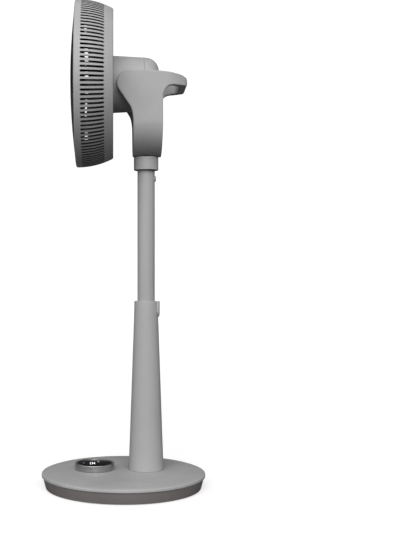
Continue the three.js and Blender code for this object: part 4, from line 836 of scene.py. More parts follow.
@dataclass
class Base:
    """The round base: cover, sloping skirt, plate, feet, screws and the power socket."""

    palette: Palette
    flat_radius: float = 0.104
    bevel_width: float = 0.006
    bevel_z: float = 0.033
    lip_top: float = 0.031
    lip_bottom: float = 0.026
    wall: float = 0.0025
    crown_steps: int = 14
    facets: int = 192
    foot_count: int = 5
    screw_count: int = 4

    def build(self) -> None:
        """Builds and dresses every piece of the base."""
        self.cover()
        self.skirt()
        self.plate()
        self.feet()
        self.screws()
        self.socket()

    def cover(self) -> bpy.types.Object:
        """The crowned cover with its rounded lip."""
        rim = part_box("base_cover")[1].x
        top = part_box("base_cover")[1].z
        bevel_r = rim - self.bevel_width
        corners: list[Ring] = [(0.0, top, 0.0), (self.flat_radius, top, 0.0)]
        for i in range(1, self.crown_steps):
            t = i / self.crown_steps
            r = self.flat_radius + (bevel_r - self.flat_radius) * t
            corners.append((r, top - (top - self.bevel_z) * t * t, 0.0))
        corners += [(bevel_r, self.bevel_z, 0.0012), (rim, self.lip_top, 0.0016)]
        corners += [(rim, self.lip_bottom, 0.0005), (rim - self.wall, self.lip_bottom, 0.0)]
        corners += [(rim - self.wall, self.lip_top - self.wall, 0.0), (bevel_r, self.bevel_z - 0.0031, 0.0)]
        corners += [(self.flat_radius, top - self.wall, 0.0), (0.0, top - self.wall, 0.0)]
        piece = bench.turned("base_cover_shell", softened(corners), self.facets)
        for name, node in (("column_hole", "column_socket"), ("dial_hole", "dial_ring")):
            at = middle(node)
            radius = 0.0329 if node == "column_socket" else 0.0171
            plug = bench.turned(name, [(0, 0.02), (radius, 0.02), (radius, 0.05), (0, 0.05)], 64, centre=(at.x, at.y, 0))
            bench.combine(piece, plug, "DIFFERENCE")
        bench.smooth(piece, 30.0)
        self.palette.dress(piece, self.palette.body)
        return stand_for(piece, "base", "grey_plastic", "base_cover")

    def skirt(self) -> bpy.types.Object:
        """The darker skirt that slopes in to the floor, with the power socket's window."""
        outline = [(161.5, 2.0, 1.0), (167.9, 25.7, 0.4), (164.9, 25.7, 0), (159.7, 6.8, 0)]
        outline += [(150.5, 6.8, 0), (150.5, 4.3, 0), (158.5, 4.3, 0), (158.5, 2.0, 0.3)]
        piece = bench.turned("base_skirt_band", softened(mm(outline), 4, True), self.facets)
        low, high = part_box("dc_inlet_socket")
        gap = 0.0003
        window = box_piece("window", (0.14, low.y - gap, low.z - gap), (0.18, high.y + gap, high.z + gap), 0.0)
        bench.combine(piece, window, "DIFFERENCE")
        bench.smooth(piece, 30.0)
        self.palette.dress(piece, self.palette.skirt)
        return stand_for(piece, "base", "skirt_plastic", "base_skirt")

    def screw_places(self) -> list[Vector]:
        """The middle of each screw under the base."""
        return [middle(f"base_screw_{i + 1}") for i in range(self.screw_count)]

    def plate(self) -> bpy.types.Object:
        """The steel plate underneath, with a pressed stiffening ring and sunk screw holes."""
        outline = [(0, 2.0, 0), (60, 2.0, 0), (63, 2.6, 0), (72, 2.6, 0), (75, 2.0, 0), (158.2, 2.0, 0.4)]
        outline += [(158.2, 4.0, 0.4), (0, 4.0, 0)]
        piece = bench.turned("base_floor_plate", softened(mm(outline), 3), 144)
        for at in self.screw_places():
            plug = bench.turned("sink", mm([(0, 0), (3.9, 0), (3.9, 3.0), (0, 3.0)]), 32, centre=(at.x, at.y, 0))
            bench.combine(piece, plug, "DIFFERENCE")
        bench.smooth(piece, 30.0)
        self.palette.dress(piece, self.palette.steel)
        return stand_for(piece, "base", "steel", "base_plate")

    def feet(self) -> None:
        """The rubber feet, grooved where they meet the floor."""
        outline = [(0, 0.5, 0), (3.0, 0.5, 0), (3.4, 0.0, 0), (6.0, 0.0, 0), (6.4, 0.5, 0), (7.4, 0.5, 0)]
        outline += [(7.8, 0.0, 0), (10.0, 0.0, 0.6), (10.0, 1.7, 0.4), (0, 1.7, 0)]
        first = middle("foot_1")
        model = bench.turned("rubber_foot_1", softened(mm(outline), 4), 64, centre=(first.x, first.y, 0))
        self.palette.dress(model, self.palette.rubber)
        stand_for(model, "base", "rubber", "foot_1")
        for i in range(1, self.foot_count):
            turn = turn_about((0, 0, 0), 2 * math.pi * i / self.foot_count)
            foot = bench.copy(model, f"rubber_foot_{i + 1}", turn)
            stand_for(foot, "base", "rubber", f"foot_{i + 1}")

    def screws(self) -> None:
        """The cross-head screws that hold the plate."""
        places = self.screw_places()
        outline = [(0, 1.75, 0), (3.6, 1.75, 0.3), (3.6, 2.7, 0.1), (1.75, 2.7, 0), (1.75, 17.0, 0.6), (0, 18.3, 0)]
        model = bench.turned("plate_screw_1", softened(mm(outline), 3), 32, centre=(places[0].x, places[0].y, 0))
        for long_x, long_y in ((1.9, 0.4), (0.4, 1.9)):
            x, y = places[0].x, places[0].y
            low = (x - long_x * MM, y - long_y * MM, 0.001)
            high = (x + long_x * MM, y + long_y * MM, 0.0023)
            bench.combine(model, box_piece("cross", low, high, 0.0), "DIFFERENCE")
        bench.smooth(model, 30.0)
        self.palette.dress(model, self.palette.steel)
        stand_for(model, "base", "steel", "base_screw_1")
        for i in range(1, self.screw_count):
            turn = turn_about((0, 0, 0), 2 * math.pi * i / self.screw_count)
            other = bench.copy(model, f"plate_screw_{i + 1}", turn)
            stand_for(other, "base", "steel", f"base_screw_{i + 1}")

    def socket(self) -> bpy.types.Object:
        """The power socket: a sunk face with a round jack and its centre pin."""
        low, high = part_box("dc_inlet_socket")
        piece = box_piece("power_socket_body", low, high, 0.0006)
        bench.edit(piece)
        face_out = lambda f: f.normal.x > 0.99 and f.calc_area() > 1e-5
        bench.choose(piece, "FACE", face_out)
        bpy.ops.mesh.inset(thickness=0.0018)
        bpy.ops.mesh.extrude_region_move(TRANSFORM_OT_translate={"value": (-0.0055, 0, 0)})
        bench.close(piece, "power_socket_body")
        at = (high.x - 0.0055, 0.0, (low.z + high.z) / 2)
        ring = [(2.0, -7, 0), (3.1, -7, 0), (3.1, 3.0, 0.3), (2.0, 3.0, 0.2)]
        pin = [(0, -7, 0), (0.9, -7, 0), (0.9, 2.2, 0.6), (0, 2.5, 0)]
        jack = bench.turned("jack", softened(mm(ring), 3, True), 40, Axis.X, at)
        centre = bench.turned("jack_pin", softened(mm(pin), 3), 24, Axis.X, at)
        piece = bench.merge_all([piece, jack, centre], "power_socket_body")
        bench.smooth(piece, 30.0)
        self.palette.dress(piece, self.palette.dark)
        return stand_for(piece, "base", "dark_plastic", "dc_inlet_socket")


# ---- Dial and display ------------------------------------------------------------------------


class Segment(Enum):
    """A bar of a seven-segment digit: its middle in widths and whether it lies across."""

    TOP = (0.0, 2.0, True)
    TOP_LEFT = (-1.0, 1.0, False)
    TOP_RIGHT = (1.0, 1.0, False)
    MIDDLE = (0.0, 0.0, True)
    BOTTOM_LEFT = (-1.0, -1.0, False)
    BOTTOM_RIGHT = (1.0, -1.0, False)
    BOTTOM = (0.0, -2.0, True)


DIGITS = {
    "2": ("TOP", "TOP_RIGHT", "MIDDLE", "BOTTOM_LEFT", "BOTTOM"),
    "5": ("TOP", "TOP_LEFT", "MIDDLE", "BOTTOM_RIGHT", "BOTTOM"),
}


@dataclass
class Dial:
    """The brushed metal ring that turns round a fixed black glass display."""

    palette: Palette
    bore_gap: float = 0.0006
    flange_gap: float = 0.0006
    digit_width: float = 0.0082
    digit_height: float = 0.0090
    digit_pitch: float = 0.0112
    number_at: tuple[float, float] = (0.0030, -0.0045)
    slant_at: tuple[float, float] = (-0.0130, 0.0075)
    dot_at: tuple[float, float] = (0.0, -0.0230)
    bar_half: float = 0.0008
    ink: float = 0.00012
    facets: int = 160

    def build(self) -> None:
        """Builds and dresses the ring, the glass and its lit marks."""
        self.ring()
        self.lens()
        self.marks()

    def ring(self) -> bpy.types.Object:
        """The brushed ring with its rounded rims, its flange and the sleeve below."""
        low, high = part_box("dial_ring")
        outer = (high.x - low.x) / 2
        lens_low, lens_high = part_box("display_lens")
        bore = (lens_high.x - lens_low.x) / 2 + self.bore_gap
        top = high.z
        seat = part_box("base_cover")[1].z + self.flange_gap
        corners = [(0.0145, low.z, 0), (0.0165, low.z, 0.0003), (0.0165, seat, 0), (outer, seat, 0.0006)]
        corners += [(outer, top, 0.0010), (bore, top, 0.0004), (bore, seat + 0.0028, 0), (0.0145, seat + 0.0028, 0)]
        at = middle("dial_ring")
        profile = [(r, z - low.z) for r, z in softened(corners, 5, True)]
        piece = bench.turned("dial_ring_turned", profile, self.facets, centre=(at.x, at.y, low.z))
        self.palette.dress(piece, self.palette.ring)
        return stand_for(piece, "dial", "brushed_ring", "dial_ring")

    def lens(self) -> bpy.types.Object:
        """The black glass, with a polished edge."""
        low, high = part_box("display_lens")
        radius = (high.x - low.x) / 2
        corners = [(0, low.z, 0), (radius, low.z, 0.0004), (radius, high.z, 0.0005), (0, high.z, 0)]
        at = middle("display_lens")
        piece = bench.turned("display_glass_disc", softened(corners, 4), self.facets, centre=(at.x, at.y, 0))
        self.palette.dress(piece, self.palette.glass)
        return stand_for(piece, "base", "display_glass", "display_lens")

    def marks(self) -> bpy.types.Object:
        """A lit two-digit number, a small slanted mark and a dot, upright from in front."""
        at = middle("display_lens")
        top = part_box("display_lens")[1].z
        across, rise = self.number_at
        bars = []
        for side, digit in zip((-0.5, 0.5), ("2", "5")):
            shift = across + side * self.digit_pitch
            bars += [self._bar(Segment[name], shift, rise) for name in DIGITS[digit]]
        x, y = self.slant_at
        reach, lean, half = 0.0022, 0.0013, self.bar_half
        slant = [(x - lean - half, y - reach), (x - lean + half, y - reach)]
        slant += [(x + lean + half, y + reach), (x + lean - half, y + reach)]
        bars.append(bench.slab("slant", slant, self.ink, Matrix.Identity(4)))
        dot = arc(self.dot_at, 0.0009, 0, 345, 23)
        bars.append(bench.slab("dot", dot, self.ink, Matrix.Identity(4)))
        piece = bench.merge_all(bars, "display_marks")
        face_front = Matrix(((0, 1, 0, at.x), (-1, 0, 0, at.y), (0, 0, 1, top), (0, 0, 0, 1)))
        piece.data.transform(face_front)
        self.palette.dress(piece, self.palette.light)
        return stand_for(piece, "base", "display_glass")

    def _bar(self, segment: Segment, shift: float, rise: float) -> bpy.types.Object:
        """One segment as a thin six-sided bar.

        Args:
            segment: Which bar of the digit.
            shift: The digit's middle, to the right.
            rise: The digit's middle, upwards.

        Returns:
            The bar, still flat on the drawing plane.
        """
        across, up, lies = segment.value
        wide, tall, thin = self.digit_width / 2, self.digit_height / 4, self.bar_half
        length = (wide if lies else tall) - thin * 0.25
        at = (across * wide + shift, up * tall + rise)
        outline = [(-length, 0), (-length + thin, -thin), (length - thin, -thin)]
        outline += [(length, 0), (length - thin, thin), (-length + thin, thin)]
        if not lies:
            outline = [(-y, x) for x, y in outline]
        outline = [(x + at[0], y + at[1]) for x, y in outline]
        return bench.slab("segment", outline, self.ink, Matrix.Identity(4))


# ---- Column, tube and collar -----------------------------------------------------------------


@dataclass
class Mast:
    """The tapered column, its height button, the sliding tube, its snap button and the collar."""

    palette: Palette
    facets: int = 160
    window_gap: float = 0.0003

    def __post_init__(self) -> None:
        """Reads the column's axis."""
        self.axis = middle("guide_tube")

    def build(self) -> None:
        """Builds and dresses every piece of the mast."""
        self.column()
        self.button()
        self.tube()
        self.snap()
        self.collar()

    def _turned(self, name: str, corners: Sequence[Ring], closed: bool = True) -> bpy.types.Object:
        """Turns an outline in millimetres about the column's axis."""
        profile = softened(mm(corners), 5, closed)
        return bench.turned(name, profile, self.facets, centre=(self.axis.x, self.axis.y, 0))

    def _button_slab(self, grow: float, top: float) -> bpy.types.Object:
        """The height button's outline, made thick right through the column's right side."""
        low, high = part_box("height_button")
        half = (high.y - low.y) / 2 + grow
        centre = low.z + (high.y - low.y) / 2
        outline = [(half, top), (-half, top)] + arc((0.0, centre), half, 180, 360, 32)
        return bench.slab("button_slab", outline, 0.022, front_view(self.axis.x + 0.0225, 0.0))

    def column(self) -> bpy.types.Object:
        """The tapered column with the height button's window at its top."""
        corners = [(36.3, 37.7, 0.5), (25.3, 350, 0.0), (24.6, 388, 2.0), (18.4, 388, 0.8), (18.4, 385, 0)]
        corners += [(22.3, 385, 0), (22.3, 350, 0), (33.3, 60, 0), (34.1, 37.7, 0)]
        piece = self._turned("column_shell_turned", corners)
        bench.combine(piece, self._button_slab(self.window_gap, 0.4), "DIFFERENCE")
        bench.smooth(piece, 30.0)
        self.palette.dress(piece, self.palette.column)
        return stand_for(piece, "base", "column_shell", "column_sleeve")

    def button(self) -> bpy.types.Object:
        """The height button, standing a little proud of the column."""
        low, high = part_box("height_button")
        top = high.z / MM
        corners = [(24.4, low.z / MM - 1, 0), (26.8, low.z / MM - 1, 0), (28.3, low.z / MM + 5, 4.0)]
        corners += [(28.3, top, 1.2), (24.4, top, 0)]
        piece = self._turned("height_button_cap", corners)
        bench.combine(piece, self._button_slab(0.0, 0.4), "INTERSECT")
        bench.modify(piece, "BEVEL", {"width": 0.0005, "segments": 3, "limit_method": "ANGLE", "angle_limit": 0.9})
        bench.smooth(piece, 35.0)
        self.palette.dress(piece, self.palette.body)
        return stand_for(piece, "height_button", "grey_plastic", "height_button")

    def tube(self) -> bpy.types.Object:
        """The sliding tube, drilled for the snap button."""
        low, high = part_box("inner_tube")
        bottom, top = low.z / MM, high.z / MM
        corners = [(16.6, bottom, 0), (18.1, bottom, 0.4), (18.1, top, 0.4), (16.6, top, 0)]
        piece = self._turned("sliding_tube", corners)
        at = middle("snap_button")
        hole = bench.turned("hole", mm([(0, 0), (6.15, 0), (6.15, 30), (0, 30)]), 48, Axis.X, (self.axis.x, 0, at.z))
        bench.combine(piece, hole, "DIFFERENCE")
        bench.smooth(piece, 30.0)
        self.palette.dress(piece, self.palette.tube)
        return stand_for(piece, "tube", "painted_tube", "inner_tube")

    def snap(self) -> bpy.types.Object:
        """The snap button's rounded pin."""
        low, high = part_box("snap_button")
        at = middle("snap_button")
        length = (high.x - low.x) / MM
        corners = [(0, 0, 0), (5.85, 0, 0.3), (5.85, length - 1.2, 1.5), (3.6, length, 2.0), (0, length, 0)]
        piece = bench.turned("snap_button_pin", softened(mm(corners), 6), 64, Axis.X, (low.x, 0, at.z))
        self.palette.dress(piece, self.palette.body)
        return stand_for(piece, "snap_button", "grey_plastic", "snap_button")

    def collar(self) -> bpy.types.Object:
        """The collar over the tube's top end."""
        corners = [(25.6, 660, 0.9), (25.6, 687, 0.9), (22.3, 687, 0), (22.3, 684.7, 0), (14.3, 684.7, 0)]
        corners += [(14.3, 681.7, 0), (22.3, 681.7, 0), (22.3, 660, 0.3)]
        piece = self._turned("tube_collar", corners)
        self.palette.dress(piece, self.palette.body)
        return stand_for(piece, "tube", "grey_plastic", "collar")


# ---- Yoke ------------------------------------------------------------------------------------


@dataclass
class Yoke:
    """The forked yoke and its carry handle, moulded in one, with the cover over the swing drive."""

    palette: Palette
    half_width: float = 0.067
    arm: float = 0.006
    floor: float = 0.061
    corner: float = 0.033
    front: float = -0.028
    rear: float = 0.0311
    waist: float = 0.0323
    shoulder: float = 0.0584
    lobe: float = 0.026
    handle_under: float = 0.1393
    handle_rear: float = 0.083
    bar: float = 0.0164
    split: float = 0.105
    voxel: float = 0.0013
    smoothing: int = 5

    def __post_init__(self) -> None:
        """Reads the column's axis and the pivot's place."""
        self.x = middle("collar").x
        self.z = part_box("yoke")[0].z
        pivot = middle("pivot_pin_left")
        self.lobe_x = pivot.x - self.x
        self.lobe_z = pivot.z - self.z
        self.inner = self.half_width - self.arm

    def build(self) -> None:
        """Builds and dresses the yoke, its cover and its screws."""
        self.fork()
        self.cover()
        self.screws()

    def side_outline(self) -> list[Point]:
        """The yoke from its side: the foot, the round lobe at the pivot and the handle."""
        under, rear, waist = self.handle_under, self.handle_rear, self.waist
        points = softened([(self.front, 0, 0), (self.rear, 0, 0), (waist, self.shoulder, 0.02)])
        points.append((waist, under - 0.0273))
        points += curve(points[-1], (waist + 0.0006, under - 0.0015), (waist + 0.02, under), 12)
        tip = [(waist + 0.02, under, 0), (rear - 0.0012, under, 0.0045), (rear + 0.0004, under + 0.0085, 0.006)]
        tip += [(rear - 0.0014, under + 0.0165, 0.006), (rear - 0.0114, under + 0.0216, 0.0)]
        points += softened(tip, 6)[1:]
        top = self.lobe_z + self.lobe
        points += curve(points[-1], (waist - 0.002, top + 0.0002), (self.lobe_x, top), 16)
        start_turn = 212.4
        points += arc((self.lobe_x, self.lobe_z), self.lobe, 90, start_turn, 28)[1:]
        waist_front = (self.front - 0.0067, self.shoulder + 0.038)
        points.append(waist_front)
        points += curve(waist_front, (self.front, waist_front[1] - 0.0104), (self.front, self.shoulder), 12)
        return points

    def front_outline(self, top: float) -> list[Point]:
        """The yoke from the front: a U with a round underside."""
        y, z = self.inner - self.corner, self.floor + self.corner
        points = [(self.half_width, top), (self.inner, top)]
        points += arc((y, z), self.corner, 0, -90, 20)
        points += arc((-y, z), self.corner, -90, -180, 20)
        points += [(-self.inner, top), (-self.half_width, top)]
        points += arc((0, self.half_width), self.half_width, 180, 360, 64)
        return points

    def _loop_edge(self, arm: float, rear: float) -> list[Point]:
        """Half of one edge of the handle's loop seen from above, from the arm to the middle."""
        start = (self.waist + 0.0007, arm)
        bend = (rear - 0.009, arm - 0.015)
        points = [start] + curve(start, (rear - 0.027, arm), bend, 12)
        return points + curve(bend, (rear, arm - 0.021), (rear, arm - 0.033), 12)

    def plan_outline(self) -> list[Point]:
        """The arms and the handle's loop seen from above."""
        front = self.lobe_x - 2 * self.lobe
        outer = self._loop_edge(self.half_width, self.handle_rear)
        inner = self._loop_edge(self.inner, self.handle_rear - self.bar)
        mirrored = lambda points: [(x, -y) for x, y in reversed(points)]
        points = [(front, self.half_width)] + outer + mirrored(outer) + [(front, -self.half_width)]
        points += [(front, -self.inner)]
        points += [(x, -y) for x, y in inner] + [(x, y) for x, y in reversed(inner)]
        return points + [(front, self.inner)]

    def fork(self) -> bpy.types.Object:
        """The one-piece yoke, with moulded rounded edges."""
        top = self.lobe_z + 2 * self.lobe
        front = self.lobe_x - 2 * self.lobe
        piece = bench.slab("yoke_moulding", self.side_outline(), 2 * self.half_width, side_view(self.x, self.z))
        length = self.waist + 0.0004 - front
        middle_x = self.x + front + length / 2
        arms = bench.slab("arms", self.front_outline(top), length, front_view(middle_x, self.z))
        tall = top - self.split
        lift = Matrix.Translation((self.x, 0, self.z + self.split + tall / 2))
        loop = bench.slab("loop", self.plan_outline(), tall, lift)
        bench.combine(arms, loop, "UNION")
        bench.combine(piece, arms, "INTERSECT")
        self._hollow(piece)
        bench.modify(piece, "REMESH", {"mode": "VOXEL", "voxel_size": self.voxel, "adaptivity": 0.0})
        bench.modify(piece, "SMOOTH", {"factor": 0.5, "iterations": self.smoothing})
        bench.pick(piece)
        bpy.ops.object.shade_smooth()
        self.palette.dress(piece, self.palette.body)
        return stand_for(piece, "neck", "grey_plastic", "yoke")

    def _hollow(self, piece: bpy.types.Object) -> None:
        """Cuts the foot's cavity, its mouth and the bore for the spigot."""
        wall = 0.003
        x0, x1 = self.x + self.front + wall, self.x + self.rear - wall
        centre = (0, 0, self.z + self.half_width)
        radius = self.half_width - wall
        barrel = bench.turned("barrel", [(0, x0), (radius, x0), (radius, x1), (0, x1)], 96, Axis.X, centre)
        keep = box_piece("keep", (x0 - 0.01, -0.08, self.z + wall), (x1 + 0.01, 0.08, self.z + 0.056), 0.0)
        bench.combine(barrel, keep, "INTERSECT")
        bench.combine(piece, barrel, "DIFFERENCE")
        mouth = box_piece("mouth", (x0, -0.0273, self.z + 0.03), (x1, 0.0273, self.z + self.floor + 0.001), 0.0)
        bench.combine(piece, mouth, "DIFFERENCE")
        pin_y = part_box("pivot_pin_right")[1].y
        for side in (-1, 1):
            ends = sorted((side * (self.inner - 0.01), side * (pin_y + 0.0002)))
            bore = [(0, ends[0]), (0.0063, ends[0]), (0.0063, ends[1]), (0, ends[1])]
            at = (self.x + self.lobe_x, 0, self.z + self.lobe_z)
            bench.combine(piece, bench.turned("pin_bore", bore, 32, Axis.Y, at), "DIFFERENCE")
        hole = [(0, -0.002), (0.0147, -0.002), (0.0147, 0.02), (0, 0.02)]
        bench.combine(piece, bench.turned("spigot_bore", hole, 48, centre=(self.x, 0, self.z)), "DIFFERENCE")

    def cover(self) -> bpy.types.Object:
        """The plate over the swing drive, between the arms."""
        low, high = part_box("yoke_cover")
        piece = box_piece("yoke_cover_plate", low, high, 0.0005)
        for i in (1, 2):
            at = middle(f"yoke_screw_{i}")
            hole = [(0, 0.7), (0.0019, 0.7), (0.0019, 0.8), (0, 0.8)]
            bench.combine(piece, bench.turned("hole", hole, 24, centre=(at.x, at.y, 0)), "DIFFERENCE")
        bench.smooth(piece, 30.0)
        self.palette.dress(piece, self.palette.body)
        return stand_for(piece, "neck", "grey_plastic", "yoke_cover")

    def screws(self) -> None:
        """The cover's two screws with cross recesses."""
        for i in (1, 2):
            low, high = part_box(f"yoke_screw_{i}")
            at = middle(f"yoke_screw_{i}")
            tall = (high.z - low.z) / MM
            corners = [(0, 0, 0), (1.6, 0.8, 0), (1.6, tall - 1.8, 0), (3.0, tall - 1.8, 0.2), (3.0, tall, 1.2), (0, tall, 0)]
            piece = bench.turned(f"cover_screw_{i}", softened(mm(corners), 4), 32, centre=(at.x, at.y, low.z))
            for half_x, half_y in ((1.5, 0.3), (0.3, 1.5)):
                corner = (at.x - half_x * MM, at.y - half_y * MM, high.z - 0.001)
                other = (at.x + half_x * MM, at.y + half_y * MM, high.z + 0.001)
                bench.combine(piece, box_piece("cross", corner, other, 0.0), "DIFFERENCE")
            bench.smooth(piece, 30.0)
            self.palette.dress(piece, self.palette.steel)
            stand_for(piece, "neck", "steel", f"yoke_screw_{i}")


# ---- Head ------------------------------------------------------------------------------------


@dataclass
class Head:
    """The slotted drum, its two grilles and the motor housing behind it."""

    palette: Palette
    slots: int = 120
    columns_per_slot: int = 6
    rear_band: float = 0.018
    front_band: float = 0.0131
    fillet: float = 0.003
    rear_round: float = 0.0042
    # Painted shade: how deep into the wall, as a share of it, the drum's inside is painted black.
    painted_shade_depth: float = 0.4
    lip: float = 0.007
    sweep: float = 0.1585
    wall: float = 0.003
    flange: float = 0.009
    slot_round: float = 0.0012
    dome: float = 0.0113
    cap_radius: float = 0.026
    rib: float = 0.0014
    ribs: int = 60
    hub_radius: float = 0.062
    housing_length: float = 0.0945
    housing_draft: float = 0.0054
    housing_split: float = 0.063
    housing_round: float = 0.028
    boss_radius: float = 0.011

    def __post_init__(self) -> None:
        """Reads the drum's axis, ends and radius."""
        low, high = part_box("drum")
        self.radius = (high.y - low.y) / 2
        self.depth = high.x - low.x
        self.at = (high.x, 0.0, (low.z + high.z) / 2)
        self.front = -self.depth
        self.widest = self.front + self.fillet
        self.slot_front = self.front + self.front_band
        self.grille_radius = self.radius - self.lip
        self.housing_radius = self.hub_radius - 0.0032

    def build(self) -> None:
        """Builds and dresses every piece of the head."""
        self.drum()
        self.front_grille()
        self.rear_grille()
        self.housing_front()
        self.housing_rear()

    def drum_radius(self, x: float) -> float:
        """The drum's outer radius at a place along its axis."""
        back = x - self.widest
        return self.radius - self.sweep + math.sqrt(self.sweep ** 2 - back ** 2)

    def drum(self) -> bpy.types.Object:
        """The drum's shell: turned, slotted face by face, then given its wall."""
        rear = self.drum_radius(0.0)
        corners: list[Ring] = [(rear - self.flange, 0.0, 0), (rear, 0.0, self.rear_round)]
        rows = [-self.rear_band, -self.rear_band - 0.003]
        rows += [self.slot_front + 0.003 + (rows[1] - self.slot_front - 0.003) * i / 5 for i in (4, 3, 2, 1, 0)]
        rows += [self.slot_front]
        for x in [-0.009, -0.013] + rows + [self.slot_front - 0.003, self.widest + 0.001]:
            corners.append((self.drum_radius(x), x, 0))
        outer = softened(corners, 5)
        outer += arc((self.radius - self.fillet, self.widest), self.fillet, 0, -90, 8)
        outer += [(self.grille_radius + 0.0004, self.front), (self.grille_radius, self.front + 0.0004)]
        outer += [(self.grille_radius, self.front + 0.005)]
        facets = self.slots * self.columns_per_slot
        bench.start()
        bpy.ops.mesh.primitive_circle_add(vertices=facets, radius=outer[0][0], fill_type="NOTHING")
        piece = bpy.context.object
        bench.edit(piece)
        bpy.ops.mesh.select_all(action="SELECT")
        bpy.ops.transform.translate(value=(0, 0, outer[0][1]))
        for (r0, z0), (r1, z1) in zip(outer, outer[1:]):
            bpy.ops.mesh.extrude_edges_move(TRANSFORM_OT_translate={"value": (0, 0, z1 - z0)})
            bpy.ops.transform.resize(value=(r1 / r0, r1 / r0, 1), center_override=(0, 0, z1))
        bpy.ops.object.mode_set(mode="OBJECT")
        piece.rotation_euler = (0, 0, math.pi / facets)
        bench.settle(piece)
        self._slot(piece)
        bench.modify(piece, "SOLIDIFY", {"thickness": self.wall, "offset": -1.0, "use_even_offset": True})
        bevel = {"width": 0.00045, "segments": 1, "limit_method": "ANGLE", "angle_limit": 1.0}
        bench.modify(piece, "BEVEL", bevel)
        piece.rotation_euler = Axis.X.value
        piece.location = self.at
        bench.close(piece, "drum_shell")
        bench.smooth(piece, 40.0)
        self.palette.dress(piece, self.palette.body)
        # Painted shade: the drum's inside and its slots' walls get the black finish, standing in for shadow.
        self._paint_inside_shade(piece)
        return stand_for(piece, "head", "grey_plastic", "drum")

    def _paint_inside_shade(self, piece: bpy.types.Object) -> None:
        """Paints the drum's inner faces and the slots' walls black as painted shade, where the grey plastic would
        only lie in shadow.

        Args:
            piece: The finished shell, standing in its place.
        """
        piece.data.materials.append(self.palette.dark)
        for face in piece.data.polygons:
            x, y, z = (face.center[i] - self.at[i] for i in range(3))
            # Faces inside the shell take the black finish as painted shade.
            if math.hypot(y, z) < self.drum_radius(min(x, 0.0)) - self.painted_shade_depth * self.wall:
                face.material_index = 1

    def _slot(self, piece: bpy.types.Object) -> None:
        """Takes out the slots' faces, draws in their ends and turns the shell's faces outwards."""
        pitch = 2 * math.pi / self.slots
        step = pitch / self.columns_per_slot
        share = lambda p: (math.atan2(p.y, p.x) / step + 0.5) % self.columns_per_slot
        rear, front = -self.rear_band, self.slot_front
        between = lambda z: front < z < rear
        outside = lambda p: p.xy.length > self.grille_radius - 0.012
        in_slot = lambda f: between(f.calc_center_median().z) and share(f.calc_center_median()) > 3.0
        bench.edit(piece)
        bench.choose(piece, "FACE", lambda f: outside(f.calc_center_median()) and in_slot(f))
        bpy.ops.mesh.delete(type="FACE")
        edge = 0.0002
        for end, shift in ((rear, -self.slot_round), (front, self.slot_round)):
            corner = lambda v: abs(v.co.z - end) < edge and v.is_boundary and len(v.link_faces) == 3
            bench.choose(piece, "VERT", corner)
            bpy.ops.transform.translate(value=(0, 0, shift))
        bpy.ops.mesh.select_all(action="SELECT")
        bpy.ops.mesh.normals_make_consistent(inside=False)
        mesh = bmesh.from_edit_mesh(piece.data)
        outward = sum(f.normal.dot(Vector((*f.calc_center_median().xy, 0))) for f in mesh.faces)
        if outward < 0:
            bpy.ops.mesh.flip_normals()
        bpy.ops.object.mode_set(mode="OBJECT")

    def dome_x(self, radius: float) -> float:
        """The front grille's face at a radius."""
        return self.front - self.dome * (1 - (radius / self.grille_radius) ** 2)

    def _rib(self, name: str, start: float, end: float, face: Callable[[float], float], deep: float) -> bpy.types.Object:
        """One radial rib that follows a face from one radius to another."""
        steps = 8
        radii = [start + (end - start) * i / steps for i in range(steps + 1)]
        outline = [(face(r), r) for r in radii] + [(face(r) + deep, r) for r in reversed(radii)]
        return bench.slab(name, outline, self.rib, side_view(0.0, 0.0))

    def _rib_set(self, name: str, face: Callable[[float], float], reach: Sequence[float], deep: float) -> bpy.types.Object:
        """Long ribs from the middle and short ones between them, all round."""
        first, half_way, last = reach
        long_rib = self._rib(name, first, last, face, deep)
        short_rib = self._rib("short_rib", half_way, last, face, deep)
        short_rib.data.transform(Matrix.Rotation(math.pi / self.ribs, 4, "X"))
        piece = bench.merge_all([long_rib, short_rib], name)
        bench.ring_of(piece, self.ribs, (0, 0, 0), (1, 0, 0))
        return piece

    def _hoop(self, radius: float, x: float, wide: float, deep: float) -> bpy.types.Object:
        """A thin hoop that ties the ribs."""
        corners = [(radius - wide / 2, x, 0.0003), (radius + wide / 2, x, 0.0003)]
        corners += [(radius + wide / 2, x + deep, 0.0003), (radius - wide / 2, x + deep, 0.0003)]
        return bench.turned("hoop", softened(corners, 2, True), 144, Axis.X)

    def _place(self, pieces: list[bpy.types.Object], name: str) -> bpy.types.Object:
        """Makes several meshes one piece in the head's place."""
        piece = bench.merge_all(pieces, name)
        piece.data.transform(Matrix.Translation(self.at))
        bench.smooth(piece, 35.0)
        return piece

    def front_grille(self) -> bpy.types.Object:
        """The domed front grille: fine ribs, tying hoops, an outer ring and a middle cap."""
        seat = self.grille_radius - 0.0003
        inner = seat - 0.006
        ribs = self._rib_set("grille_front", self.dome_x, (self.cap_radius - 0.003, 0.06, inner + 0.001), 0.0038)
        hoops = [self._hoop(r, self.dome_x(r) + 0.0012, 0.0016, 0.0022) for r in (0.06, 0.095, 0.13)]
        ring = [(inner, self.front + 0.004, 0), (seat, self.front + 0.004, 0), (seat, self.front - 0.0002, 0.0014)]
        ring += [(inner, self.dome_x(inner) - 0.0004, 0.0012)]
        rim = bench.turned("rim", softened(ring, 4, True), 192, Axis.X)
        back = self.dome_x(0) + 0.0045
        cap = [(0, back, 0), (self.cap_radius, back, 0.0005), (self.cap_radius, self.dome_x(self.cap_radius), 0.0016)]
        cap += [(self.cap_radius * 0.62, self.dome_x(0) - 0.0003, 0.004), (0, self.dome_x(0) - 0.0005, 0)]
        disc = bench.turned("cap", softened(cap, 5), 96, Axis.X)
        piece = self._place([ribs, *hoops, rim, disc], "grille_front")
        self.palette.dress(piece, self.palette.dark)
        return stand_for(piece, "head", "dark_plastic", "front_grille")

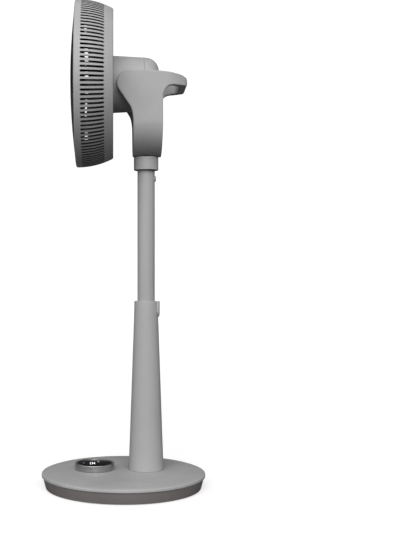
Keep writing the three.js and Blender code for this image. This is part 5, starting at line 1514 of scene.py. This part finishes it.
    def rear_grille(self) -> bpy.types.Object:
        """The flat rear grille round the motor housing's front."""
        back = -self.wall - 0.0003
        outer = self.drum_radius(0.0) - self.wall - 0.0008
        inner = outer - 0.008
        face = lambda radius: back - 0.003
        ribs = self._rib_set("grille_rear", face, (self.hub_radius - 0.001, 0.09, inner + 0.001), 0.0026)
        hoops = [self._hoop(r, back - 0.0028, 0.0016, 0.0022) for r in (0.09, 0.12)]
        edge = 0.0005
        ring = [(inner, back - 0.003, edge), (outer, back - 0.003, edge), (outer, back, edge), (inner, back, edge)]
        hub = [(0.014, back - 0.003, edge), (self.hub_radius, back - 0.003, edge)]
        hub += [(self.hub_radius, back, edge), (0.014, back, edge)]
        rings = [bench.turned("ring", softened(each, 3, True), 144, Axis.X) for each in (ring, hub)]
        piece = self._place([ribs, *hoops, *rings], "grille_rear")
        self.palette.dress(piece, self.palette.body)
        return stand_for(piece, "head", "grey_plastic", "rear_grille")

    def housing_r(self, x: float) -> float:
        """The motor housing's outer radius along its length."""
        return self.housing_radius - self.housing_draft * max(x, 0.0) / self.housing_length

    def housing_front(self) -> bpy.types.Object:
        """The housing's front part with the bosses that turn on the pivot pins."""
        wall = 0.0025
        split = self.housing_split
        corners = [(0.014, -self.wall, 0), (self.housing_r(0), -self.wall, 0), (self.housing_r(0), 0, 0)]
        corners += [(self.housing_r(split), split, 0.0003), (self.housing_r(split) - wall, split, 0)]
        corners += [(self.housing_r(0) - wall, 0, 0), (0.014, 0, 0)]
        piece = bench.turned("housing_front_shell", softened(corners, 4, True), 144, Axis.X, self.at)
        pin = middle("pivot_pin_left")
        reach = -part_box("motor_housing_front")[0].y
        boss_in = -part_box("pivot_pin_left")[1].y
        for side in (-1, 1):
            ends = sorted((side * boss_in, side * reach))
            boss = [(0, ends[0]), (self.boss_radius, ends[0]), (self.boss_radius, ends[1]), (0, ends[1])]
            bench.combine(piece, bench.turned("boss", boss, 64, Axis.Y, (pin.x, 0, pin.z)), "UNION")
            ends = sorted((side * (boss_in - 0.003), side * (reach + 0.002)))
            hole = [(0, ends[0]), (0.0066, ends[0]), (0.0066, ends[1]), (0, ends[1])]
            bench.combine(piece, bench.turned("hole", hole, 48, Axis.Y, (pin.x, 0, pin.z)), "DIFFERENCE")
        bench.smooth(piece, 30.0)
        self.palette.dress(piece, self.palette.body)
        return stand_for(piece, "head", "grey_plastic", "motor_housing_front")

    def housing_rear(self) -> bpy.types.Object:
        """The housing's rear part, round at its end."""
        wall = 0.0025
        start = self.housing_split + 0.0003
        arc_x = self.housing_length - self.housing_round
        arc_r = self.housing_r(arc_x) - self.housing_round
        outer = arc((arc_r, arc_x), self.housing_round, 0, 90, 20)
        inner = arc((arc_r, arc_x), self.housing_round - wall, 90, 0, 20)
        profile = [(0.0, self.housing_length - wall)] + inner
        profile += [(self.housing_r(start) - wall, start), (self.housing_r(start) - 0.0002, start)]
        profile += [(self.housing_r(start), start + 0.0002)] + outer + [(0.0, self.housing_length)]
        piece = bench.turned("housing_rear_shell", profile, 144, Axis.X, self.at)
        self.palette.dress(piece, self.palette.body)
        return stand_for(piece, "head", "grey_plastic", "motor_housing_rear")


@dataclass
class Rotor:
    """The seven-bladed fan wheel and the nut that holds it on the shaft."""

    palette: Palette
    blades: int = 7
    thickness: float = 0.0022
    chord_steps: int = 12
    span_steps: int = 14
    hub_radius: float = 0.032
    tip_radius: float = 0.1495
    front: float = -0.054
    depth: float = 0.040

    def __post_init__(self) -> None:
        """Reads the rotor's axis."""
        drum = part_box("drum")
        self.at = (drum[1].x, 0.0, (drum[0].z + drum[1].z) / 2)

    def build(self) -> None:
        """Builds and dresses the wheel and its nut."""
        self.wheel()
        self.nut()

    def _chord(self, out: float) -> list[tuple[float, float]]:
        """A blade's section at a share of its span, as places along the axis and angles."""
        section = []
        deep = self.depth * (0.8 + 0.16 * out) - self.thickness
        trim = 1.0 - 0.9 * max(out - 0.9, 0.0) ** 0.5 if out > 0.9 else 1.0
        for i in range(self.chord_steps + 1):
            chord = (i / self.chord_steps - 0.5) * trim
            bulge = 1 - 4 * chord * chord
            x = self.front + self.depth / 2 - chord * deep + 0.0035 * (bulge - 0.5)
            section.append((x, 0.32 * out * out + chord * (0.72 + 0.06 * out)))
        return section

    def _blade(self) -> bpy.types.Object:
        """One swept and twisted blade, extruded outwards section by section."""
        root = self.hub_radius - 0.002
        at = lambda x, angle, r: Vector((x, -r * math.sin(angle), r * math.cos(angle)))
        first = [at(x, angle, root) for x, angle in self._chord(0.0)]
        piece = bench.traced("fan_wheel", first)
        bench.choose(piece, "VERT", lambda v: True)
        for step in range(1, self.span_steps + 1):
            out = step / self.span_steps
            r = root + (self.tip_radius - root) * out
            bpy.ops.mesh.extrude_edges_move(TRANSFORM_OT_translate={"value": (0, 0, 0)})
            mesh = bmesh.from_edit_mesh(piece.data)
            row = sorted((v for v in mesh.verts if v.select), key=lambda v: -v.co.x)
            section = sorted(self._chord(out), key=lambda c: -c[0])
            for vertex, (x, angle) in zip(row, section):
                vertex.co = at(x, angle, r)
            bmesh.update_edit_mesh(piece.data)
        bench.close(piece, "fan_wheel", 1e-7)
        bench.modify(piece, "SOLIDIFY", {"thickness": self.thickness, "offset": 0.0, "use_even_offset": True})
        bench.modify(piece, "BEVEL", {"width": 0.0006, "segments": 2, "limit_method": "ANGLE", "angle_limit": 0.9})
        return piece

    def wheel(self) -> bpy.types.Object:
        """The blades all round their hub."""
        blades = self._blade()
        bench.ring_of(blades, self.blades, (0, 0, 0), (1, 0, 0))
        front, end = -0.052, -0.016
        corners = [(0.0043, front, 0), (0.0192, front, 0.002), (0.029, front + 0.003, 0.004)]
        corners += [(0.032, front + 0.009, 0.003), (0.032, end, 0.0008), (0.029, end, 0.0005)]
        corners += [(0.029, front + 0.009, 0), (0.011, front + 0.005, 0), (0.011, end - 0.006, 0.0005)]
        corners += [(0.0043, end - 0.006, 0)]
        hub = bench.turned("hub", softened(corners, 4, True), 96, Axis.X)
        piece = bench.merge_all([blades, hub], "fan_wheel")
        piece.data.transform(Matrix.Translation(self.at))
        bench.smooth(piece, 40.0)
        self.palette.dress(piece, self.palette.blade)
        return stand_for(piece, "rotor", "dark_plastic", "fan_blades")

    def nut(self) -> bpy.types.Object:
        """The domed nut with finger flutes round it."""
        front, back = -0.0593, -0.0523
        corners = [(0, front, 0), (0.011, front, 0.002), (0.015, front + 0.0025, 0.002), (0.015, back, 0.0005)]
        corners += [(0.0043, back, 0), (0.0043, front + 0.0032, 0), (0, front + 0.0032, 0)]
        piece = bench.turned("blade_nut_turned", softened(corners, 4), 72, Axis.X)
        flutes = 8
        for i in range(flutes):
            cutter = bench.turned("flute", [(0, -0.07), (0.0022, -0.07), (0.0022, -0.05), (0, -0.05)], 20, Axis.X, (0, 0, 0.0163))
            cutter.data.transform(Matrix.Rotation(2 * math.pi * i / flutes, 4, "X"))
            bench.combine(piece, cutter, "DIFFERENCE")
        piece.data.transform(Matrix.Translation(self.at))
        bench.smooth(piece, 35.0)
        self.palette.dress(piece, self.palette.dark)
        return stand_for(piece, "rotor", "dark_plastic", "blade_nut")


# ---- Pieces kept from the frame --------------------------------------------------------------


@dataclass
class Works:
    """The inner pieces whose shapes come straight from the frame."""

    palette: Palette

    def build(self) -> None:
        """Gives every node its procedural finish by its material slot."""
        finishes = {
            "grey_plastic": self.palette.body,
            "skirt_plastic": self.palette.skirt,
            "dark_plastic": self.palette.dark,
            "white_plastic": self.palette.white,
            "rubber": self.palette.rubber,
            "steel": self.palette.steel,
            "cast_iron": self.palette.casting,
            "brushed_ring": self.palette.ring,
            "painted_tube": self.palette.tube,
            "column_shell": self.palette.column,
            "display_glass": self.palette.glass,
            "copper": self.palette.copper,
            "circuit": self.palette.board,
        }
        for part in frame["record"]["subparts"]:
            node = frame["nodes"][part["node"]]
            material = finishes[part["material_slot"]]
            if not node.material_slots:
                node.data.materials.append(material)
            for slot in node.material_slots:
                slot.material = material
        log.info("works: %d nodes dressed", len(frame["nodes"]))


# ---- Studio ----------------------------------------------------------------------------------


@dataclass
class Studio:
    """The camera, the soft lights and the pale floor."""

    camera_at: tuple[float, float, float] = (-0.0210, -2.007, 0.4524)
    lens: float = 64.16
    key_strength: float = 3.65
    fill_strength: float = 0.45
    shift: float = 0.1707
    floor_half: float = 6.0

    def camera(self) -> None:
        """The camera, level, looking along +Y."""
        data = bpy.data.cameras.new("camera")
        data.lens = self.lens
        data.sensor_width = 36.0
        data.shift_x = self.shift
        camera = bpy.data.objects.new("camera", data)
        camera.location = self.camera_at
        camera.rotation_euler = (math.pi / 2, 0, 0)
        bpy.context.scene.collection.objects.link(camera)
        bpy.context.scene.camera = camera

    def _sun(self, name: str, strength: float, turn: tuple[float, float], spread: float) -> None:
        """Adds a soft light that reaches every part of the fan equally.

        Args:
            name: The light's name.
            strength: How strongly it lights a surface that faces it.
            turn: Its lean from straight down and its swing round the fan, in degrees.
            spread: How wide it looks, in degrees.
        """
        data = bpy.data.lights.new(name, "SUN")
        data.energy = strength
        data.angle = math.radians(spread)
        light = bpy.data.objects.new(name, data)
        light.rotation_euler = (math.radians(turn[0]), 0.0, math.radians(turn[1]))
        bpy.context.scene.collection.objects.link(light)

    def lights(self) -> None:
        """A broad soft key from high in front, a weak fill from each side, and a weak sky."""
        self._sun("key_light", self.key_strength, (53.0, -3.0), 60.0)
        self._sun("left_fill", 1.5 * self.fill_strength, (68.0, -70.0), 60.0)
        self._sun("right_fill", self.fill_strength, (68.0, 70.0), 60.0)
        world = bpy.data.worlds.new("studio")
        world.use_nodes = True
        tree = world.node_tree
        sky = tree.nodes["Background"]
        sky.inputs[0].default_value = (1.0, 1.0, 1.0, 1.0)
        seen = tree.nodes.new("ShaderNodeLightPath")
        level = tree.nodes.new("ShaderNodeMapRange")
        level.inputs["To Min"].default_value = 0.1
        level.inputs["To Max"].default_value = 1.1
        tree.links.new(seen.outputs["Is Camera Ray"], level.inputs["Value"])
        tree.links.new(level.outputs[0], sky.inputs[1])
        bpy.context.scene.world = world
        bpy.context.scene.view_settings.view_transform = "Standard"

    def floor(self) -> None:
        """A wide pale floor that throws little light back up."""
        bench.start()
        bpy.ops.mesh.primitive_plane_add(size=2 * self.floor_half)
        floor = bpy.context.object
        floor.name = "studio_floor"
        kit = ShaderKit("studio_floor")
        seen = kit.node("ShaderNodeLightPath", {}, {}).outputs["Is Camera Ray"]
        speck = kit.noise(40.0, 3.0)
        bright = kit.blend(speck, (0.45, 0.45, 0.45), (0.47, 0.47, 0.47))
        pale = kit.node("ShaderNodeBsdfDiffuse", {}, {"Color": bright}).outputs[0]
        glow = kit.node("ShaderNodeEmission", {}, {"Strength": 0.62}).outputs[0]
        lit = kit.node("ShaderNodeAddShader", {}, {0: pale, 1: glow}).outputs[0]
        dull = kit.node("ShaderNodeBsdfDiffuse", {}, {"Color": (0.12, 0.12, 0.12, 1.0)}).outputs[0]
        both = kit.node("ShaderNodeMixShader", {}, {0: seen, 1: dull, 2: lit}).outputs[0]
        output = kit.tree.nodes["Material Output"]
        kit.tree.links.new(both, output.inputs["Surface"])
        floor.data.materials.append(kit.material)
        floor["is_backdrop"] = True


def main() -> None:
    """Builds the fan, sub-assembly by sub-assembly."""
    logging.basicConfig(level=logging.INFO, format="%(name)s %(message)s")
    studio = Studio()
    studio.camera()
    dial_at = middle("dial_ring")
    palette = Palette((dial_at.x, dial_at.y))
    Works(palette).build()
    for assembly in (Base, Dial, Mast, Yoke, Head, Rotor):
        log.info("building the %s", assembly.__name__.lower())
        assembly(palette).build()
    studio.lights()
    studio.floor()
    bounds = {"cad": CAD_BOUNDS, "visual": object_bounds()}
    plain = {key: [list(corner) for corner in value] for key, value in bounds.items()}


if __name__ == "__main__":
    main()
